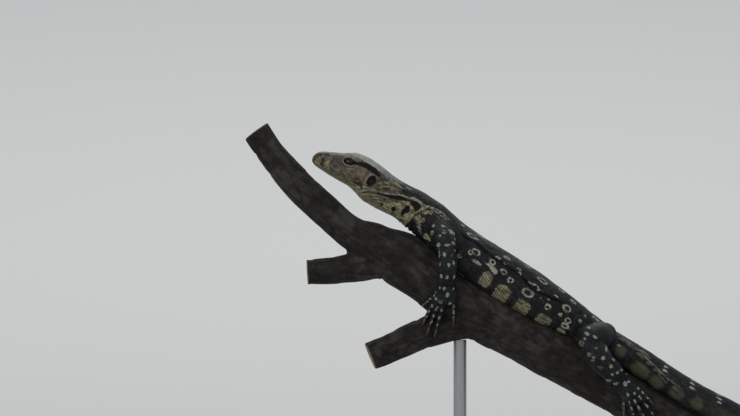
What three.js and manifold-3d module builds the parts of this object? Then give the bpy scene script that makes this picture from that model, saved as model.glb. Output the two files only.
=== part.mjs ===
import * as THREE from "three";
import { mergeVertices } from "three/addons/utils/BufferGeometryUtils.js";
import Module from "manifold-3d";

// A young water monitor lizard, life size, stretched along a sloping branch with its head raised.
// A cut length of the branch is its perch, held by two rods on a flat base.
// Millimetres, +Z up. The animal faces -X, its left side faces -Y, and the base stands on z = 0.
// Every body form is a loft: rings set across a smooth line, sized by a short table of landmarks.

const gap = 0.3; // kept between touching pieces
const left = -1;
const right = 1;

// Driving dimensions of the animal: distances from the tip of the snout
const headEnd = 70;
const neckEnd = 128;
const torsoEnd = 350;
const tailCuts = [470, 620, 770];

// Driving dimensions of the stand
const base = { length: 470, width: 250, height: 18, corner: 30, bevel: 2 };
const rod = { radius: 6.5, collar: 12, collarHeight: 8, front: -60, back: 150 };

// The line through the middle of the animal, from the snout to the tip of the tail
const spinePoints = [
  [-207.4, -6, 642], // snout
  [-179.6, -4, 630.8], // below the eye
  [-151.8, -2, 619.5], // jaw corner
  [-130, 0, 606],
  [-108, 1, 593], // throat
  [-90, 1, 579],
  [-73, 0, 561], // shoulders
  [-54, -3, 546],
  [-20, -5, 524],
  [25, -4, 495], // belly
  [70, -2, 466], // hips
  [105, -8, 446], // vent
  [170, -20, 405.5],
  [237, -20, 371], // here the tail leaves the branch
  [270, -14, 344],
  [289, -6, 304],
  [298, 2, 230],
  [302, 1, 150],
  [316, -5, 76],
  [342, -8, 17], // tip of the tail
];

// Sizes along the animal: place, half width, height above the line, depth below it,
// squareness of the upper and lower half (2 is round), and how far the sides lean in towards the top
const bodySizes = [
  [0, 1.2, 1.4, 1.2, 2, 2, 0],
  [0.8, 3.6, 3.9, 3.0, 2, 2, 0],
  [2.4, 5.6, 6.3, 4.4, 2.1, 2.1, 0.05],
  [5.5, 7.4, 9.0, 6.0, 2.2, 2.2, 0.1], // nostrils
  [15, 9.7, 12.3, 8.2, 2.5, 2.3, 0.2],
  [25, 11.8, 15.3, 10.0, 2.7, 2.3, 0.26],
  [35, 14.2, 19.0, 11.4, 2.8, 2.3, 0.3], // eyes
  [43, 16.4, 21.4, 12.6, 2.7, 2.3, 0.28],
  [52, 18.2, 21.3, 15.4, 2.5, 2.2, 0.24], // temples
  [61, 18.6, 19.9, 18.8, 2.3, 2.1, 0.16], // ears
  [70, 17.4, 18.5, 20.4, 2.1, 2.0, 0.08],
  [82, 16.6, 17.4, 19.6, 2, 2, 0],
  [100, 17.0, 17.2, 18.4, 2, 2, 0],
  [114, 19.2, 18.6, 19.6, 2, 2, 0], // fold of the throat
  [124, 21.2, 19.2, 20.2, 2.1, 2.1, 0],
  [145, 25.0, 21.4, 21.6, 2.2, 2.3, 0], // shoulders
  [175, 28.0, 23.4, 23.4, 2.2, 2.5, 0],
  [215, 30.6, 24.2, 25.0, 2.2, 2.7, 0],
  [255, 31.4, 24.4, 24.6, 2.2, 2.7, 0], // belly
  [290, 28.4, 22.8, 22.0, 2.2, 2.5, 0],
  [320, 23.6, 20.2, 19.4, 2.1, 2.3, 0], // hips
  [350, 19.0, 17.2, 17.0, 2.0, 2.2, 0],
  [371, 16.8, 15.2, 15.8, 1.95, 2.1, 0], // vent
  [420, 14.6, 14.6, 15.0, 1.85, 2, 0],
  [470, 12.2, 13.8, 13.4, 1.75, 2, 0],
  [540, 9.4, 12.2, 11.0, 1.65, 2, 0],
  [620, 7.0, 10.2, 8.6, 1.6, 2, 0],
  [720, 4.6, 7.4, 5.9, 1.6, 2, 0],
  [810, 2.8, 4.8, 3.7, 1.6, 2, 0],
  [885, 1.5, 2.6, 1.9, 1.7, 2, 0],
  [935, 0.6, 1.0, 0.8, 2, 2, 0], // tip of the tail
];

// Swellings and hollows of the head: place, height over the line, length, spread and rise
const headRelief = [
  { at: 36, up: 17.5, length: 10, spread: 3.2, rise: 1.5 }, // ridge over the eye
  { at: 20, up: 4.5, length: 8, spread: 4, rise: -0.9 }, // hollow before the eye
  { at: 50, up: 3, length: 7, spread: 7, rise: 0.9 }, // jaw muscle
  { at: 70, up: 8, length: 5, spread: 6, rise: -0.8 }, // hollow behind the temple
];

// The mouth: height of its line over the middle line, from the snout to its corner and on to the neck
const mouthLine = [
  [0, -0.1],
  [0.8, -0.5],
  [2.4, -1.0],
  [10, -2.7],
  [22, -4.0],
  [34, -4.7],
  [45, -5.2],
  [70, -5.4],
];
// How strongly the lips and the mouth between them stand out: place, share
const mouthShare = [
  [0, 0.5],
  [2.4, 1],
  [45, 1],
  [53, 0],
  [70, 0],
];
// Rows of points from the upper lip to the lower: height over the mouth's line and push outwards
const lipRows = [
  [3.6, 0],
  [2.4, 0.35],
  [1.1, 0.55],
  [0.4, 0.25],
  [0, -1.0],
  [-0.4, 0.15],
  [-1.1, 0.4],
  [-2.4, 0.2],
  [-3.4, 0],
];
const crownRows = 7;
const throatRows = 4;
const fullHeadDepth = 18; // where the head is shallower than this, its lips are smaller

// Openings of the head: place along it and height over its middle line
const eye = { at: 35, up: 9.8, radius: 5.8, sink: 3.5, lid: 6.8, length: 10.4, height: 7.6, tilt: 0.12 };
const ear = { at: 61.4, up: 1.6, width: 8, height: 10.6, depth: 3.2, rim: 1, tilt: 0.22 };
const nostril = { at: 6.2, up: 6.0, width: 3.2, height: 2.2, depth: 1.5 };

// The branch and its two cut side limbs: points with the branch's radius at each
const mainLimb = [
  [-264, 2, 669, 15],
  [-234, 1, 628, 15.8],
  [-201.5, 0, 595.5, 16.8],
  [-170, 0, 568.5, 18.2],
  [-143, 0, 554, 22],
  [-117, 0, 540, 28.6],
  [-90, 0, 523, 30],
  [-64, 0, 505, 30.4],
  [-35, 0, 487, 30.4],
  [-8, 0, 472, 29.8],
  [40, 0, 445, 28.4],
  [80, 1, 422, 27.4],
  [120, 2, 399, 27],
  [180, 2, 366, 27.2],
  [242, 0, 332, 28],
];
const levelLimb = [
  [-213, -1, 528, 13.8],
  [-185, 0, 529.5, 14.4],
  [-150, 0, 536, 16.4],
  [-117, 0, 540, 19],
];
const lowLimb = [
  [-150, -6, 444, 14.4],
  [-120, -3, 456.4, 15.4],
  [-99, -1, 465.5, 16.8],
  [-72, 0, 476, 19],
  [-40, 0, 482, 20],
];
const bark = { swell: 0.55, sides: 18, step: 20.5 };
const fork = 8 * bark.step; // distance down the main limb where its slim upper part ends

// Half width and half thickness along each length of a limb, as shares of its length
const armSizes = {
  upper: [
    [0, 6, 6],
    [0.16, 12.5, 11],
    [0.45, 12.2, 10.8],
    [0.78, 10.4, 9.6],
    [0.93, 7.6, 7.2],
    [1, 2.5, 2.5],
  ],
  lower: [
    [0, 3.4, 3.4],
    [0.1, 8.4, 7.6],
    [0.36, 9.6, 8.6],
    [0.72, 9.2, 7.0],
    [0.93, 9.4, 5.6],
    [1, 5.6, 3.4],
  ],
};
const legSizes = {
  upper: [
    [0, 8, 8],
    [0.15, 15.2, 14],
    [0.5, 15.8, 14.2],
    [0.8, 13.8, 12.4],
    [0.94, 9, 8.6],
    [1, 3, 3],
  ],
  lower: [
    [0, 4, 4],
    [0.1, 11, 9.6],
    [0.36, 13, 10.8],
    [0.7, 11.4, 8.4],
    [0.92, 10.6, 6.4],
    [1, 5.6, 3.6],
  ],
};

// Feet: the sole, then each toe from the first: where it leaves the sole, its angle to it and its length
const handShape = {
  sole: 20,
  halfWidth: 11,
  height: 4.6,
  toeRadius: 2.9,
  claw: 7.5,
  toes: [
    { across: -8, start: 9, spread: -42, length: 14 },
    { across: -9, start: 15.5, spread: -21, length: 23 },
    { across: -5, start: 16.5, spread: -15, length: 30 },
    { across: -0.8, start: 17, spread: -9, length: 30 },
    { across: 8.6, start: 15, spread: 6, length: 18 },
  ],
};
const footShape = {
  sole: 25,
  halfWidth: 11,
  height: 5,
  toeRadius: 3.1,
  claw: 8,
  toes: [
    { across: -8, start: 15, spread: -40, length: 14 },
    { across: -6.5, start: 19, spread: -24, length: 21 },
    { across: -2.5, start: 20, spread: -13, length: 28 },
    { across: 2.5, start: 20, spread: -5, length: 34 },
    { across: 7.4, start: 14, spread: -1, length: 24 },
  ],
};

// Limbs: the points of root, elbow or knee, and wrist or ankle; the heading of the sole in degrees,
// seen from the animal's left, where 0 points along +X and 90 points up
const limbs = [
  {
    name: "left",
    side: left,
    arm: { root: [-84, -10, 577], knee: [-71.6, -41, 549], ankle: [-74, -38, 516], heading: -96 },
    leg: { root: [86, -6, 465], knee: [60, -42, 461], ankle: [96.5, -37, 423], heading: -46 },
  },
  {
    name: "right",
    side: right,
    arm: { root: [-84, 12, 577], knee: [-74, 42, 558], ankle: [-106, 39, 549], heading: -166 },
    leg: { root: [86, 2, 465], knee: [66, 43, 457], ankle: [104, 37, 418], heading: -38 },
  },
];

const wasm = await Module();
wasm.setup();

// Helpers

// Reads a table of rows [place, value, value, ...] by smooth steps that never overshoot
function smoothTable(rows) {
  const keys = rows.map((row) => row[0]);
  const columns = rows[0].slice(1).map((_, c) => rows.map((row) => row[c + 1]));
  const slopes = columns.map((values) => {
    const steps = values.slice(1).map((v, i) => (v - values[i]) / (keys[i + 1] - keys[i]));
    return values.map((_, i) => {
      if (i === 0) return steps[0];
      if (i === values.length - 1) return steps[i - 1];
      const [before, after] = [steps[i - 1], steps[i]];
      return before * after <= 0 ? 0 : (2 * before * after) / (before + after);
    });
  });
  return (place) => {
    const at = Math.min(Math.max(place, keys[0]), keys[keys.length - 1]);
    const i = Math.max(keys.findIndex((key) => key >= at), 1);
    const span = keys[i] - keys[i - 1];
    const t = (at - keys[i - 1]) / span;
    const ease = t * t * (3 - 2 * t);
    return columns.map((values, c) => {
      const rise = t * (1 - t) * span * (slopes[c][i - 1] * (1 - t) - slopes[c][i] * t);
      return values[i - 1] * (1 - ease) + values[i] * ease + rise;
    });
  };
}

// A smooth line through points, with a frame carried along it without twist
class Line {
  constructor(points, up) {
    const route = points.map((p) => new THREE.Vector3(p[0], p[1], p[2]));
    this.curve = new THREE.CatmullRomCurve3(route, false, "centripetal");
    this.curve.arcLengthDivisions = 1500;
    this.length = this.curve.getLength();
    this.frames = 500;
    this.ups = [new THREE.Vector3(...up)];
    for (let i = 0; i <= this.frames; i++) {
      this.ups[i] = this.across(this.ups[Math.max(i - 1, 0)], this.curve.getTangentAt(i / this.frames));
    }
  }

  // The part of a direction that is square to the line
  across(direction, along) {
    return direction.clone().addScaledVector(along, -direction.dot(along)).normalize();
  }

  // The centre and the directions along, up and to the left, at a distance along the line
  at(distance) {
    const share = THREE.MathUtils.clamp(distance / this.length, 0, 1);
    const i = Math.min(Math.floor(share * this.frames), this.frames - 1);
    const along = this.curve.getTangentAt(share);
    const up = this.across(this.ups[i].clone().lerp(this.ups[i + 1], share * this.frames - i), along);
    return { centre: this.curve.getPointAt(share), along, up, side: along.clone().cross(up) };
  }

  // The distance along the line at which it passes closest to a point
  nearest(point) {
    const target = new THREE.Vector3(point[0], point[1], point[2]);
    const steps = 600;
    let best = 0;
    for (let i = 0; i <= steps; i++) {
      const away = (k) => this.curve.getPointAt(k / steps).distanceToSquared(target);
      if (away(i) < away(best)) best = i;
    }
    return (best / steps) * this.length;
  }
}

// Distances from one place to another, each step as long as spacing(place) asks
function places(from, to, spacing) {
  const found = [from];
  let at = from + spacing(from);
  while (at < to - 0.4 * spacing(to)) {
    found.push(at);
    at += spacing(at);
  }
  return [...found, to];
}

// A closed loft: rings of points given by ring(place, number), closed at both ends round centre(place)
function loft(distances, sides, centre, ring) {
  const points = [];
  const faces = [];
  for (const at of distances) {
    for (let j = 0; j < sides; j++) points.push(ring(at, j));
  }
  const first = points.push(centre(distances[0])) - 1;
  const last = points.push(centre(distances[distances.length - 1])) - 1;
  const end = (distances.length - 1) * sides;
  for (let j = 0; j < sides; j++) {
    const next = (j + 1) % sides;
    for (let i = 0; i < end; i += sides) {
      faces.push(i + j, i + sides + j, i + next);
      faces.push(i + next, i + sides + j, i + sides + next);
    }
    faces.push(first, j, next);
    faces.push(last, end + next, end + j);
  }
  const positions = points.flatMap((p) => [p.x, p.y, p.z]);
  return new THREE.BufferGeometry()
    .setAttribute("position", new THREE.Float32BufferAttribute(positions, 3))
    .setIndex(faces);
}

// A tube along a line: size(share) gives its half width and half thickness, and grow adds to both
function tube(points, size, { sides, step, up, grow = 0 }) {
  const line = new Line(points, up);
  const ring = (at, j) => {
    const frame = line.at(at);
    const [width, thick] = size(at / line.length);
    const angle = (2 * Math.PI * j) / sides;
    return frame.centre
      .addScaledVector(frame.side, Math.cos(angle) * (width + grow))
      .addScaledVector(frame.up, Math.sin(angle) * (thick + grow));
  };
  const centre = (at) => {
    const frame = line.at(at);
    return frame.centre.addScaledVector(frame.along, at === 0 ? -grow : grow);
  };
  return solid(loft(places(0, line.length, () => step), sides, centre, ring));
}

// Turns a closed geometry into a solid that can be joined and cut
function solid(geometry) {
  const bare = geometry.clone();
  bare.deleteAttribute("normal");
  bare.deleteAttribute("uv");
  const merged = mergeVertices(bare, 1e-3);
  const mesh = new wasm.Mesh({
    numProp: 3,
    vertProperties: new Float32Array(merged.attributes.position.array),
    triVerts: new Uint32Array(merged.index.array),
  });
  return new wasm.Manifold(mesh);
}

const join = (pieces) => pieces.reduce((whole, piece) => whole.add(piece));
const cut = (whole, ...tools) => tools.reduce((rest, tool) => rest.subtract(tool), whole);

// Skin

const spine = new Line(spinePoints, [0, 0, 1]);
const bodyAt = smoothTable(bodySizes);
const tailTip = bodySizes[bodySizes.length - 1][0];
const stretch = tailTip / spine.length;

// A coordinate on a rounded square of some squareness
const rounded = (value, squareness) => Math.sign(value) * Math.abs(value) ** (2 / squareness);

// A point on the skin at a distance from the snout; the angle is 0 at the left and a quarter turn at the back
function skinPoint(at, angle, grow = 0) {
  const [width, above, below, squareUp, squareDown, lean] = bodyAt(at * stretch);
  const frame = spine.at(at);
  const sine = Math.sin(angle);
  const height = sine >= 0 ? above : below;
  const square = sine >= 0 ? squareUp : squareDown;
  const rise = rounded(sine, square);
  const reach = rounded(Math.cos(angle), square) * (1 - lean * Math.max(0, rise));
  const swell = grow + relief(at, rise * height) * Math.abs(reach);
  return frame.centre
    .addScaledVector(frame.side, reach * (width + swell))
    .addScaledVector(frame.up, rise * (height + swell));
}

function relief(at, up) {
  const bump = ({ at: middle, up: high, length, spread, rise }) =>
    rise * Math.exp(-(((at - middle) / length) ** 2) - ((up - high) / spread) ** 2);
  return headRelief.reduce((sum, form) => sum + bump(form), 0);
}

// The direction out of the skin
function skinNormal(at, angle) {
  const step = 0.05;
  const along = skinPoint(at + step, angle).sub(skinPoint(at, angle));
  const round = skinPoint(at, angle + step).sub(skinPoint(at, angle - step));
  return along.cross(round).normalize();
}

// The angle at which the skin has a given height over the middle line, on the left or the right
function angleAt(at, up, side = left) {
  const [, above, below, squareUp, squareDown] = bodyAt(at * stretch);
  const share = up >= 0 ? (up / above) ** (squareUp / 2) : -((-up / below) ** (squareDown / 2));
  const angle = Math.asin(THREE.MathUtils.clamp(share, -1, 1));
  return side === left ? angle : Math.PI - angle;
}

function bodyLoft(from, to, sides, spacing, grow = 0) {
  const centre = (at) => spine.at(at).centre;
  const ring = (at, j) => skinPoint(at, (2 * Math.PI * j) / sides, grow);
  return solid(loft(places(from, to, spacing), sides, centre, ring));
}

// Perch

// A limb of the branch, with slow swellings in the bark
function branchLoft(points, seed, grow = 0, from = 0, to = Infinity) {
  const line = new Line(points, [0, 0, 1]);
  const radiusAt = smoothTable(points.map((p, i) => [i === 0 ? 0 : line.nearest(p), p[3]]));
  const ring = (at, j) => {
    const frame = line.at(at);
    const angle = (2 * Math.PI * j) / bark.sides;
    const swell = Math.sin(at / 17 + 2 * angle + seed) + 0.7 * Math.sin(at / 9 - 3 * angle + 2 * seed);
    const radius = radiusAt(at)[0] + bark.swell * swell + grow;
    return frame.centre
      .addScaledVector(frame.side, Math.cos(angle) * radius)
      .addScaledVector(frame.up, Math.sin(angle) * radius);
  };
  const distances = places(from, Math.min(to, line.length), () => bark.step);
  return solid(loft(distances, bark.sides, (at) => line.at(at).centre, ring));
}

const mainSeed = 0.4;
const levelSeed = 2.1;
const lowSeed = 4.2;
const grownMain = branchLoft(mainLimb, mainSeed, gap);
const grownPerch = join([
  grownMain,
  branchLoft(levelLimb, levelSeed, gap),
  branchLoft(lowLimb, lowSeed, gap),
]);

function perchParts() {
  return {
    perch_limb: branchLoft(mainLimb, mainSeed, 0, 0, fork - gap),
    perch_trunk: branchLoft(mainLimb, mainSeed, 0, fork),
    perch_side_level: cut(branchLoft(levelLimb, levelSeed), grownMain),
    perch_side_low: cut(branchLoft(lowLimb, lowSeed), grownMain),
  };
}

// How far out to the side the middle of a thing lies that rests on the branch, seen from the side at x and z
function perchReach(x, z, radius) {
  let reach = 0;
  for (const points of [mainLimb, lowLimb, levelLimb]) {
    for (let i = 1; i < points.length; i++) {
      const [x0, , z0, r0] = points[i - 1];
      const [x1, , z1, r1] = points[i];
      const [dx, dz] = [x1 - x0, z1 - z0];
      const share = THREE.MathUtils.clamp(((x - x0) * dx + (z - z0) * dz) / (dx * dx + dz * dz), 0, 1);
      const away = Math.hypot(x - x0 - share * dx, z - z0 - share * dz);
      const round = r0 + share * (r1 - r0) + radius;
      if (away < round) reach = Math.max(reach, Math.sqrt(round * round - away * away));
    }
  }
  return reach;
}

// Head

// The head's own rings follow the lips and the line of the mouth
function headShell() {
  const mouthAt = smoothTable(mouthLine);
  const shareAt = smoothTable(mouthShare);
  const rowsAt = (at) => {
    const [, above, below] = bodyAt(at * stretch);
    const scale = Math.min(1, (above + below) / fullHeadDepth);
    const push = scale * shareAt(at)[0];
    const lips = lipRows.map(([up, out]) => [angleAt(at, mouthAt(at)[0] + up * scale), out * push]);
    const top = Math.PI / 2;
    const steps = (from, to, count) =>
      Array.from({ length: count }, (_, i) => [from + ((to - from) * i) / count, 0]);
    const crown = steps(top, lips[0][0], crownRows);
    const throat = steps(lips[lips.length - 1][0], -top, throatRows).slice(1);
    return [...crown, ...lips, ...throat, [-top, 0]];
  };
  const rows = crownRows + lipRows.length + throatRows;
  const sides = 2 * (rows - 1);
  const ring = (at, j) => {
    const onRight = j < rows;
    const [angle, push] = rowsAt(at)[onRight ? j : sides - j];
    const turned = onRight ? Math.PI - angle : angle;
    return skinPoint(at, turned).addScaledVector(skinNormal(at, turned), push);
  };
  const centre = (at) => {
    const frame = spine.at(at);
    return frame.centre.addScaledVector(frame.along, at === 0 ? 0.4 : 0);
  };
  const spacing = (at) => (at < 3 ? 0.8 : at < 8 ? 2.2 : 3.8);
  return solid(loft(places(0, headEnd, spacing), sides, centre, ring));
}

// Puts a geometry on the side of the head: its x runs back, its y up and its z outwards
function onFace(geometry, { at, up, tilt = 0 }, side, lift = 0) {
  const angle = angleAt(at, up, side);
  const out = skinNormal(at, angle);
  const back = skinPoint(at + 1, angleAt(at + 1, up, side)).sub(skinPoint(at, angle));
  back.addScaledVector(out, -back.dot(out)).normalize();
  const x = side === left ? back : back.clone().negate();
  const matrix = new THREE.Matrix4().makeBasis(x, out.clone().cross(x), out);
  matrix.setPosition(skinPoint(at, angle).addScaledVector(out, lift));
  return solid(geometry.clone().rotateZ(side === left ? -tilt : tilt).applyMatrix4(matrix));
}

// The outline of the opening between the lids
function almond(length, height) {
  const [a, h] = [length / 2, height / 2];
  const shape = new THREE.Shape();
  shape.moveTo(-a, 0);
  shape.bezierCurveTo(-a * 0.75, h * 1.4, a * 0.55, h * 1.3, a, 0);
  shape.bezierCurveTo(a * 0.6, -h * 1.3, -a * 0.6, -h * 1.3, -a, 0);
  return shape;
}

function headParts() {
  const forms = [headShell()];
  const holes = [];
  const eyes = {};
  for (const { name, side } of limbs) {
    const ball = (radius) => new THREE.SphereGeometry(radius, 16, 10);
    const slit = new THREE.ExtrudeGeometry(almond(eye.length, eye.height), {
      depth: eye.lid,
      bevelEnabled: false,
      curveSegments: 6,
    });
    eyes[`eye_${name}`] = onFace(ball(eye.radius), eye, side, -eye.sink);
    holes.push(onFace(ball(eye.radius + gap), eye, side, -eye.sink));
    holes.push(onFace(slit, eye, side, eye.radius * 0.5 - eye.sink));
    forms.push(onFace(ball(eye.lid), eye, side, -eye.sink));
    const rim = new THREE.TorusGeometry(1, ear.rim / (ear.height / 2), 4, 14);
    rim.scale(ear.width / 2 + ear.rim * 0.6, ear.height / 2 + ear.rim * 0.6, ear.height / 2);
    forms.push(onFace(rim, ear, side));
    const pit = new THREE.SphereGeometry(1, 12, 6).scale(ear.width / 2, ear.height / 2, ear.depth);
    holes.push(onFace(pit, ear, side));
    const hole = new THREE.SphereGeometry(1, 8, 6);
    hole.scale(nostril.width / 2, nostril.height / 2, nostril.depth);
    holes.push(onFace(hole, nostril, side, 0.2));
  }
  return { head: cut(join(forms), join(holes)), ...eyes };
}

// Neck, torso and tail

function bodyParts() {
  const parts = {
    neck: bodyLoft(headEnd + gap, neckEnd, 26, () => 8),
    torso: bodyLoft(neckEnd + gap, torsoEnd, 26, () => 13),
  };
  const names = ["tail_base", "tail_middle", "tail_lower", "tail_tip"];
  const ends = [torsoEnd, ...tailCuts, spine.length];
  names.forEach((name, i) => {
    parts[name] = bodyLoft(ends[i] + gap, ends[i + 1], 16, () => 17);
  });
  for (const name of Object.keys(parts)) parts[name] = cut(parts[name], grownPerch);
  return parts;
}

// Limbs

// A foot that lies on the branch: the sole and five toes that end in hooked claws
function footSolid(ankle, heading, side, shape) {
  const turned = (degrees) => {
    const angle = THREE.MathUtils.degToRad(degrees);
    return [Math.cos(angle), Math.sin(angle)];
  };
  const least = 4;
  const onPerch = (x, z, radius) => [x, side * Math.max(perchReach(x, z, radius + gap), least), z];
  const [hx, hz] = turned(heading);
  const spot = (along, across) => [
    ankle[0] + hx * along - hz * across,
    ankle[2] + hz * along + hx * across,
  ];
  const up = [0, side, 0.2];

  const soleRoute = [-4, 4, 12, shape.sole].map((along) => onPerch(...spot(along, 0), shape.height));
  soleRoute[0][1] = ankle[1];
  const [w, h] = [shape.halfWidth, shape.height];
  const soleSize = smoothTable([
    [0, w * 0.5, h * 0.7],
    [0.25, w * 0.84, h],
    [0.6, w, h],
    [0.88, w * 0.94, h * 0.84],
    [1, w * 0.6, h * 0.45],
  ]);
  const forms = [tube(soleRoute, soleSize, { sides: 10, step: 6, up })];

  const r = shape.toeRadius;
  for (const { across, start, spread, length } of shape.toes) {
    const [tx, tz] = turned(heading + spread);
    const [x0, z0] = spot(start, across);
    const at = (along, radius) => onPerch(x0 + tx * along, z0 + tz * along, radius);
    const route = [0, 0.3, 0.6, 0.9].map((share) => {
      const arch = 1.1 * Math.sin(Math.PI * share) ** 2;
      return at(share * length, r * (1 - 0.35 * share) + arch);
    });
    route.push(at(length + 2, 2.8), at(length + shape.claw * 0.6, 2.4), at(length + shape.claw, 0.6));
    const toe = length / (length + shape.claw);
    const toeSize = smoothTable([
      [0, r * 0.8, r * 0.8],
      [toe * 0.3, r * 0.95, r * 0.95],
      [toe * 0.6, r * 0.86, r * 0.86],
      [toe * 0.9, r * 0.72, r * 0.72],
      [toe, r * 0.46, r * 0.6],
      [(1 + toe) / 2, r * 0.3, r * 0.42],
      [1, 0.25, 0.25],
    ]);
    forms.push(tube(route, toeSize, { sides: 6, step: 6, up }));
  }
  return join(forms);
}

function limbParts() {
  const parts = {};
  const grownBody = bodyLoft(headEnd, tailCuts[0], 26, () => 13, gap);
  const middle = (a, b, bow) => a.map((v, i) => (v + b[i]) / 2 + (i === 1 ? bow : 0));
  const add = (names, side, place, sizes, shape) => {
    const { root, knee, ankle, heading } = place;
    const inKnee = root.map((v, i) => v + (knee[i] - v) * 0.82);
    const upperRoute = [root, middle(root, knee, side * 4), knee];
    const lowerRoute = [inKnee, middle(knee, ankle, side), ankle];
    const upperSize = smoothTable(sizes.upper);
    const lowerSize = smoothTable(sizes.lower);
    const upper = (grow) => tube(upperRoute, upperSize, { sides: 14, step: 6, up: [0, 0, 1], grow });
    const lower = (grow) => tube(lowerRoute, lowerSize, { sides: 12, step: 6.5, up: [0.3, side, 0.3], grow });
    const foot = footSolid(ankle, heading, side, shape);
    parts[names[0]] = cut(upper(0), grownBody, grownPerch);
    parts[names[1]] = cut(lower(0), upper(gap), grownBody, grownPerch);
    parts[names[2]] = cut(foot, lower(gap), upper(gap), grownBody, grownPerch);
  };
  for (const { name, side, arm, leg } of limbs) {
    add([`upper_arm_${name}`, `forearm_${name}`, `hand_${name}`], side, arm, armSizes, handShape);
    add([`thigh_${name}`, `shank_${name}`, `foot_${name}`], side, leg, legSizes, footShape);
  }
  return parts;
}

// Stand

function standBase() {
  const [hx, hy] = [base.length / 2 - base.bevel, base.width / 2 - base.bevel];
  const r = base.corner;
  const quarter = Math.PI / 2;
  const shape = new THREE.Shape();
  shape.absarc(hx - r, hy - r, r, 0, quarter);
  shape.absarc(-hx + r, hy - r, r, quarter, 2 * quarter);
  shape.absarc(-hx + r, -hy + r, r, 2 * quarter, 3 * quarter);
  shape.absarc(hx - r, -hy + r, r, 3 * quarter, 4 * quarter);
  const plate = new THREE.ExtrudeGeometry(shape, {
    depth: base.height - 2 * base.bevel,
    bevelThickness: base.bevel,
    bevelSize: base.bevel,
    bevelSegments: 1,
    curveSegments: 6,
  });
  return solid(plate.translate(0, 0, base.bevel));
}

// A rod with a collar at its foot, cut to the underside of the branch
function standRod(x) {
  const foot = base.height + gap;
  const tall = 600;
  const profile = [
    [0, 0],
    [rod.collar, 0],
    [rod.collar, rod.collarHeight - 2],
    [rod.collar - 2, rod.collarHeight],
    [rod.radius, rod.collarHeight],
    [rod.radius, tall],
    [0, tall],
  ].map(([r, z]) => new THREE.Vector2(r, z));
  const turned = new THREE.LatheGeometry(profile, 16).rotateX(Math.PI / 2);
  return turned.translate(x, 0, foot);
}

function standParts() {
  const whole = (x) => cut(solid(standRod(x)), grownPerch);
  return { stand_base: standBase(), stand_rod_front: whole(rod.front), stand_rod_back: whole(rod.back) };
}

// Materials

const finishes = [
  ["eye", { color: 0x140f0a, roughness: 0.15 }],
  ["head", { color: 0x6f6755, roughness: 0.6 }],
  ["perch", { color: 0x3a322b, roughness: 0.85 }],
  ["stand_base", { color: 0x8a6b4a, roughness: 0.5 }],
  ["stand_rod", { color: 0x5a5c60, roughness: 0.35, metalness: 0.9 }],
  ["", { color: 0x2b2a26, roughness: 0.55 }], // skin of the body
];

function materialFor(name) {
  const [, finish] = finishes.find(([start]) => name.startsWith(start));
  return new THREE.MeshStandardMaterial(finish);
}

// A mesh of the largest closed body in a solid
function meshOf(name, whole) {
  const [body] = whole.decompose().sort((a, b) => b.volume() - a.volume());
  const { numProp, vertProperties, triVerts } = body.getMesh();
  const positions = new Float32Array((vertProperties.length / numProp) * 3);
  for (let i = 0; i < positions.length / 3; i++) {
    positions.set(vertProperties.subarray(i * numProp, i * numProp + 3), i * 3);
  }
  const geometry = new THREE.BufferGeometry();
  geometry.setAttribute("position", new THREE.BufferAttribute(positions, 3));
  geometry.setIndex(new THREE.BufferAttribute(triVerts, 1));
  geometry.computeVertexNormals();
  const mesh = new THREE.Mesh(geometry, materialFor(name));
  mesh.name = name;
  return mesh;
}

const model = new THREE.Group();
const pieces = { ...headParts(), ...bodyParts(), ...limbParts(), ...perchParts(), ...standParts() };
for (const [name, whole] of Object.entries(pieces)) model.add(meshOf(name, whole));

export default model;
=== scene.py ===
import math

import bmesh
import bpy
import numpy as np
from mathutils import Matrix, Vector


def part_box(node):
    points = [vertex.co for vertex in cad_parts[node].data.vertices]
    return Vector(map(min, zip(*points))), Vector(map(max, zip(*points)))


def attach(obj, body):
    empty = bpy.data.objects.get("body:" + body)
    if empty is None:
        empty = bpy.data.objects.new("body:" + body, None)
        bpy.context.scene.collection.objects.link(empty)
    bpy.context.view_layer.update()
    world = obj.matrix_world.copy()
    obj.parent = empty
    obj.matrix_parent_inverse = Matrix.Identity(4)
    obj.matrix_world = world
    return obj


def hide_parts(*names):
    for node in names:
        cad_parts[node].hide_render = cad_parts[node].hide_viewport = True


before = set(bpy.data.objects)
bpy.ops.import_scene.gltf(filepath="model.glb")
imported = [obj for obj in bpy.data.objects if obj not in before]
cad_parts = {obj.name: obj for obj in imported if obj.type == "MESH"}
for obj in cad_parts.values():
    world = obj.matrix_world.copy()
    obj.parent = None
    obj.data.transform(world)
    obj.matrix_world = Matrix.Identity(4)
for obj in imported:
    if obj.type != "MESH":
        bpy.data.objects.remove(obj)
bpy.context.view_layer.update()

# A young water monitor stretched head up along a sloping branch, on a display stand.
# Shapes are worked out in millimetres and made into metres as each piece is finished.

mm = 0.001
left = -1
right = 1

# Smooth numbers

def unit(vectors):
    return vectors / np.maximum(np.linalg.norm(vectors, axis=-1, keepdims=True), 1e-12)


def eased(t):
    return t * t * (3 - 2 * t)


def smoothStep(low, high, value):
    return eased(np.clip((value - low) / (high - low), 0, 1))


def between(value, low, high, soft):
    return smoothStep(low - soft, low + soft, value) * smoothStep(high + soft, high - soft, value)


def hump(value, middle, spread):
    return np.exp(-(((value - middle) / spread) ** 2))


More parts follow.
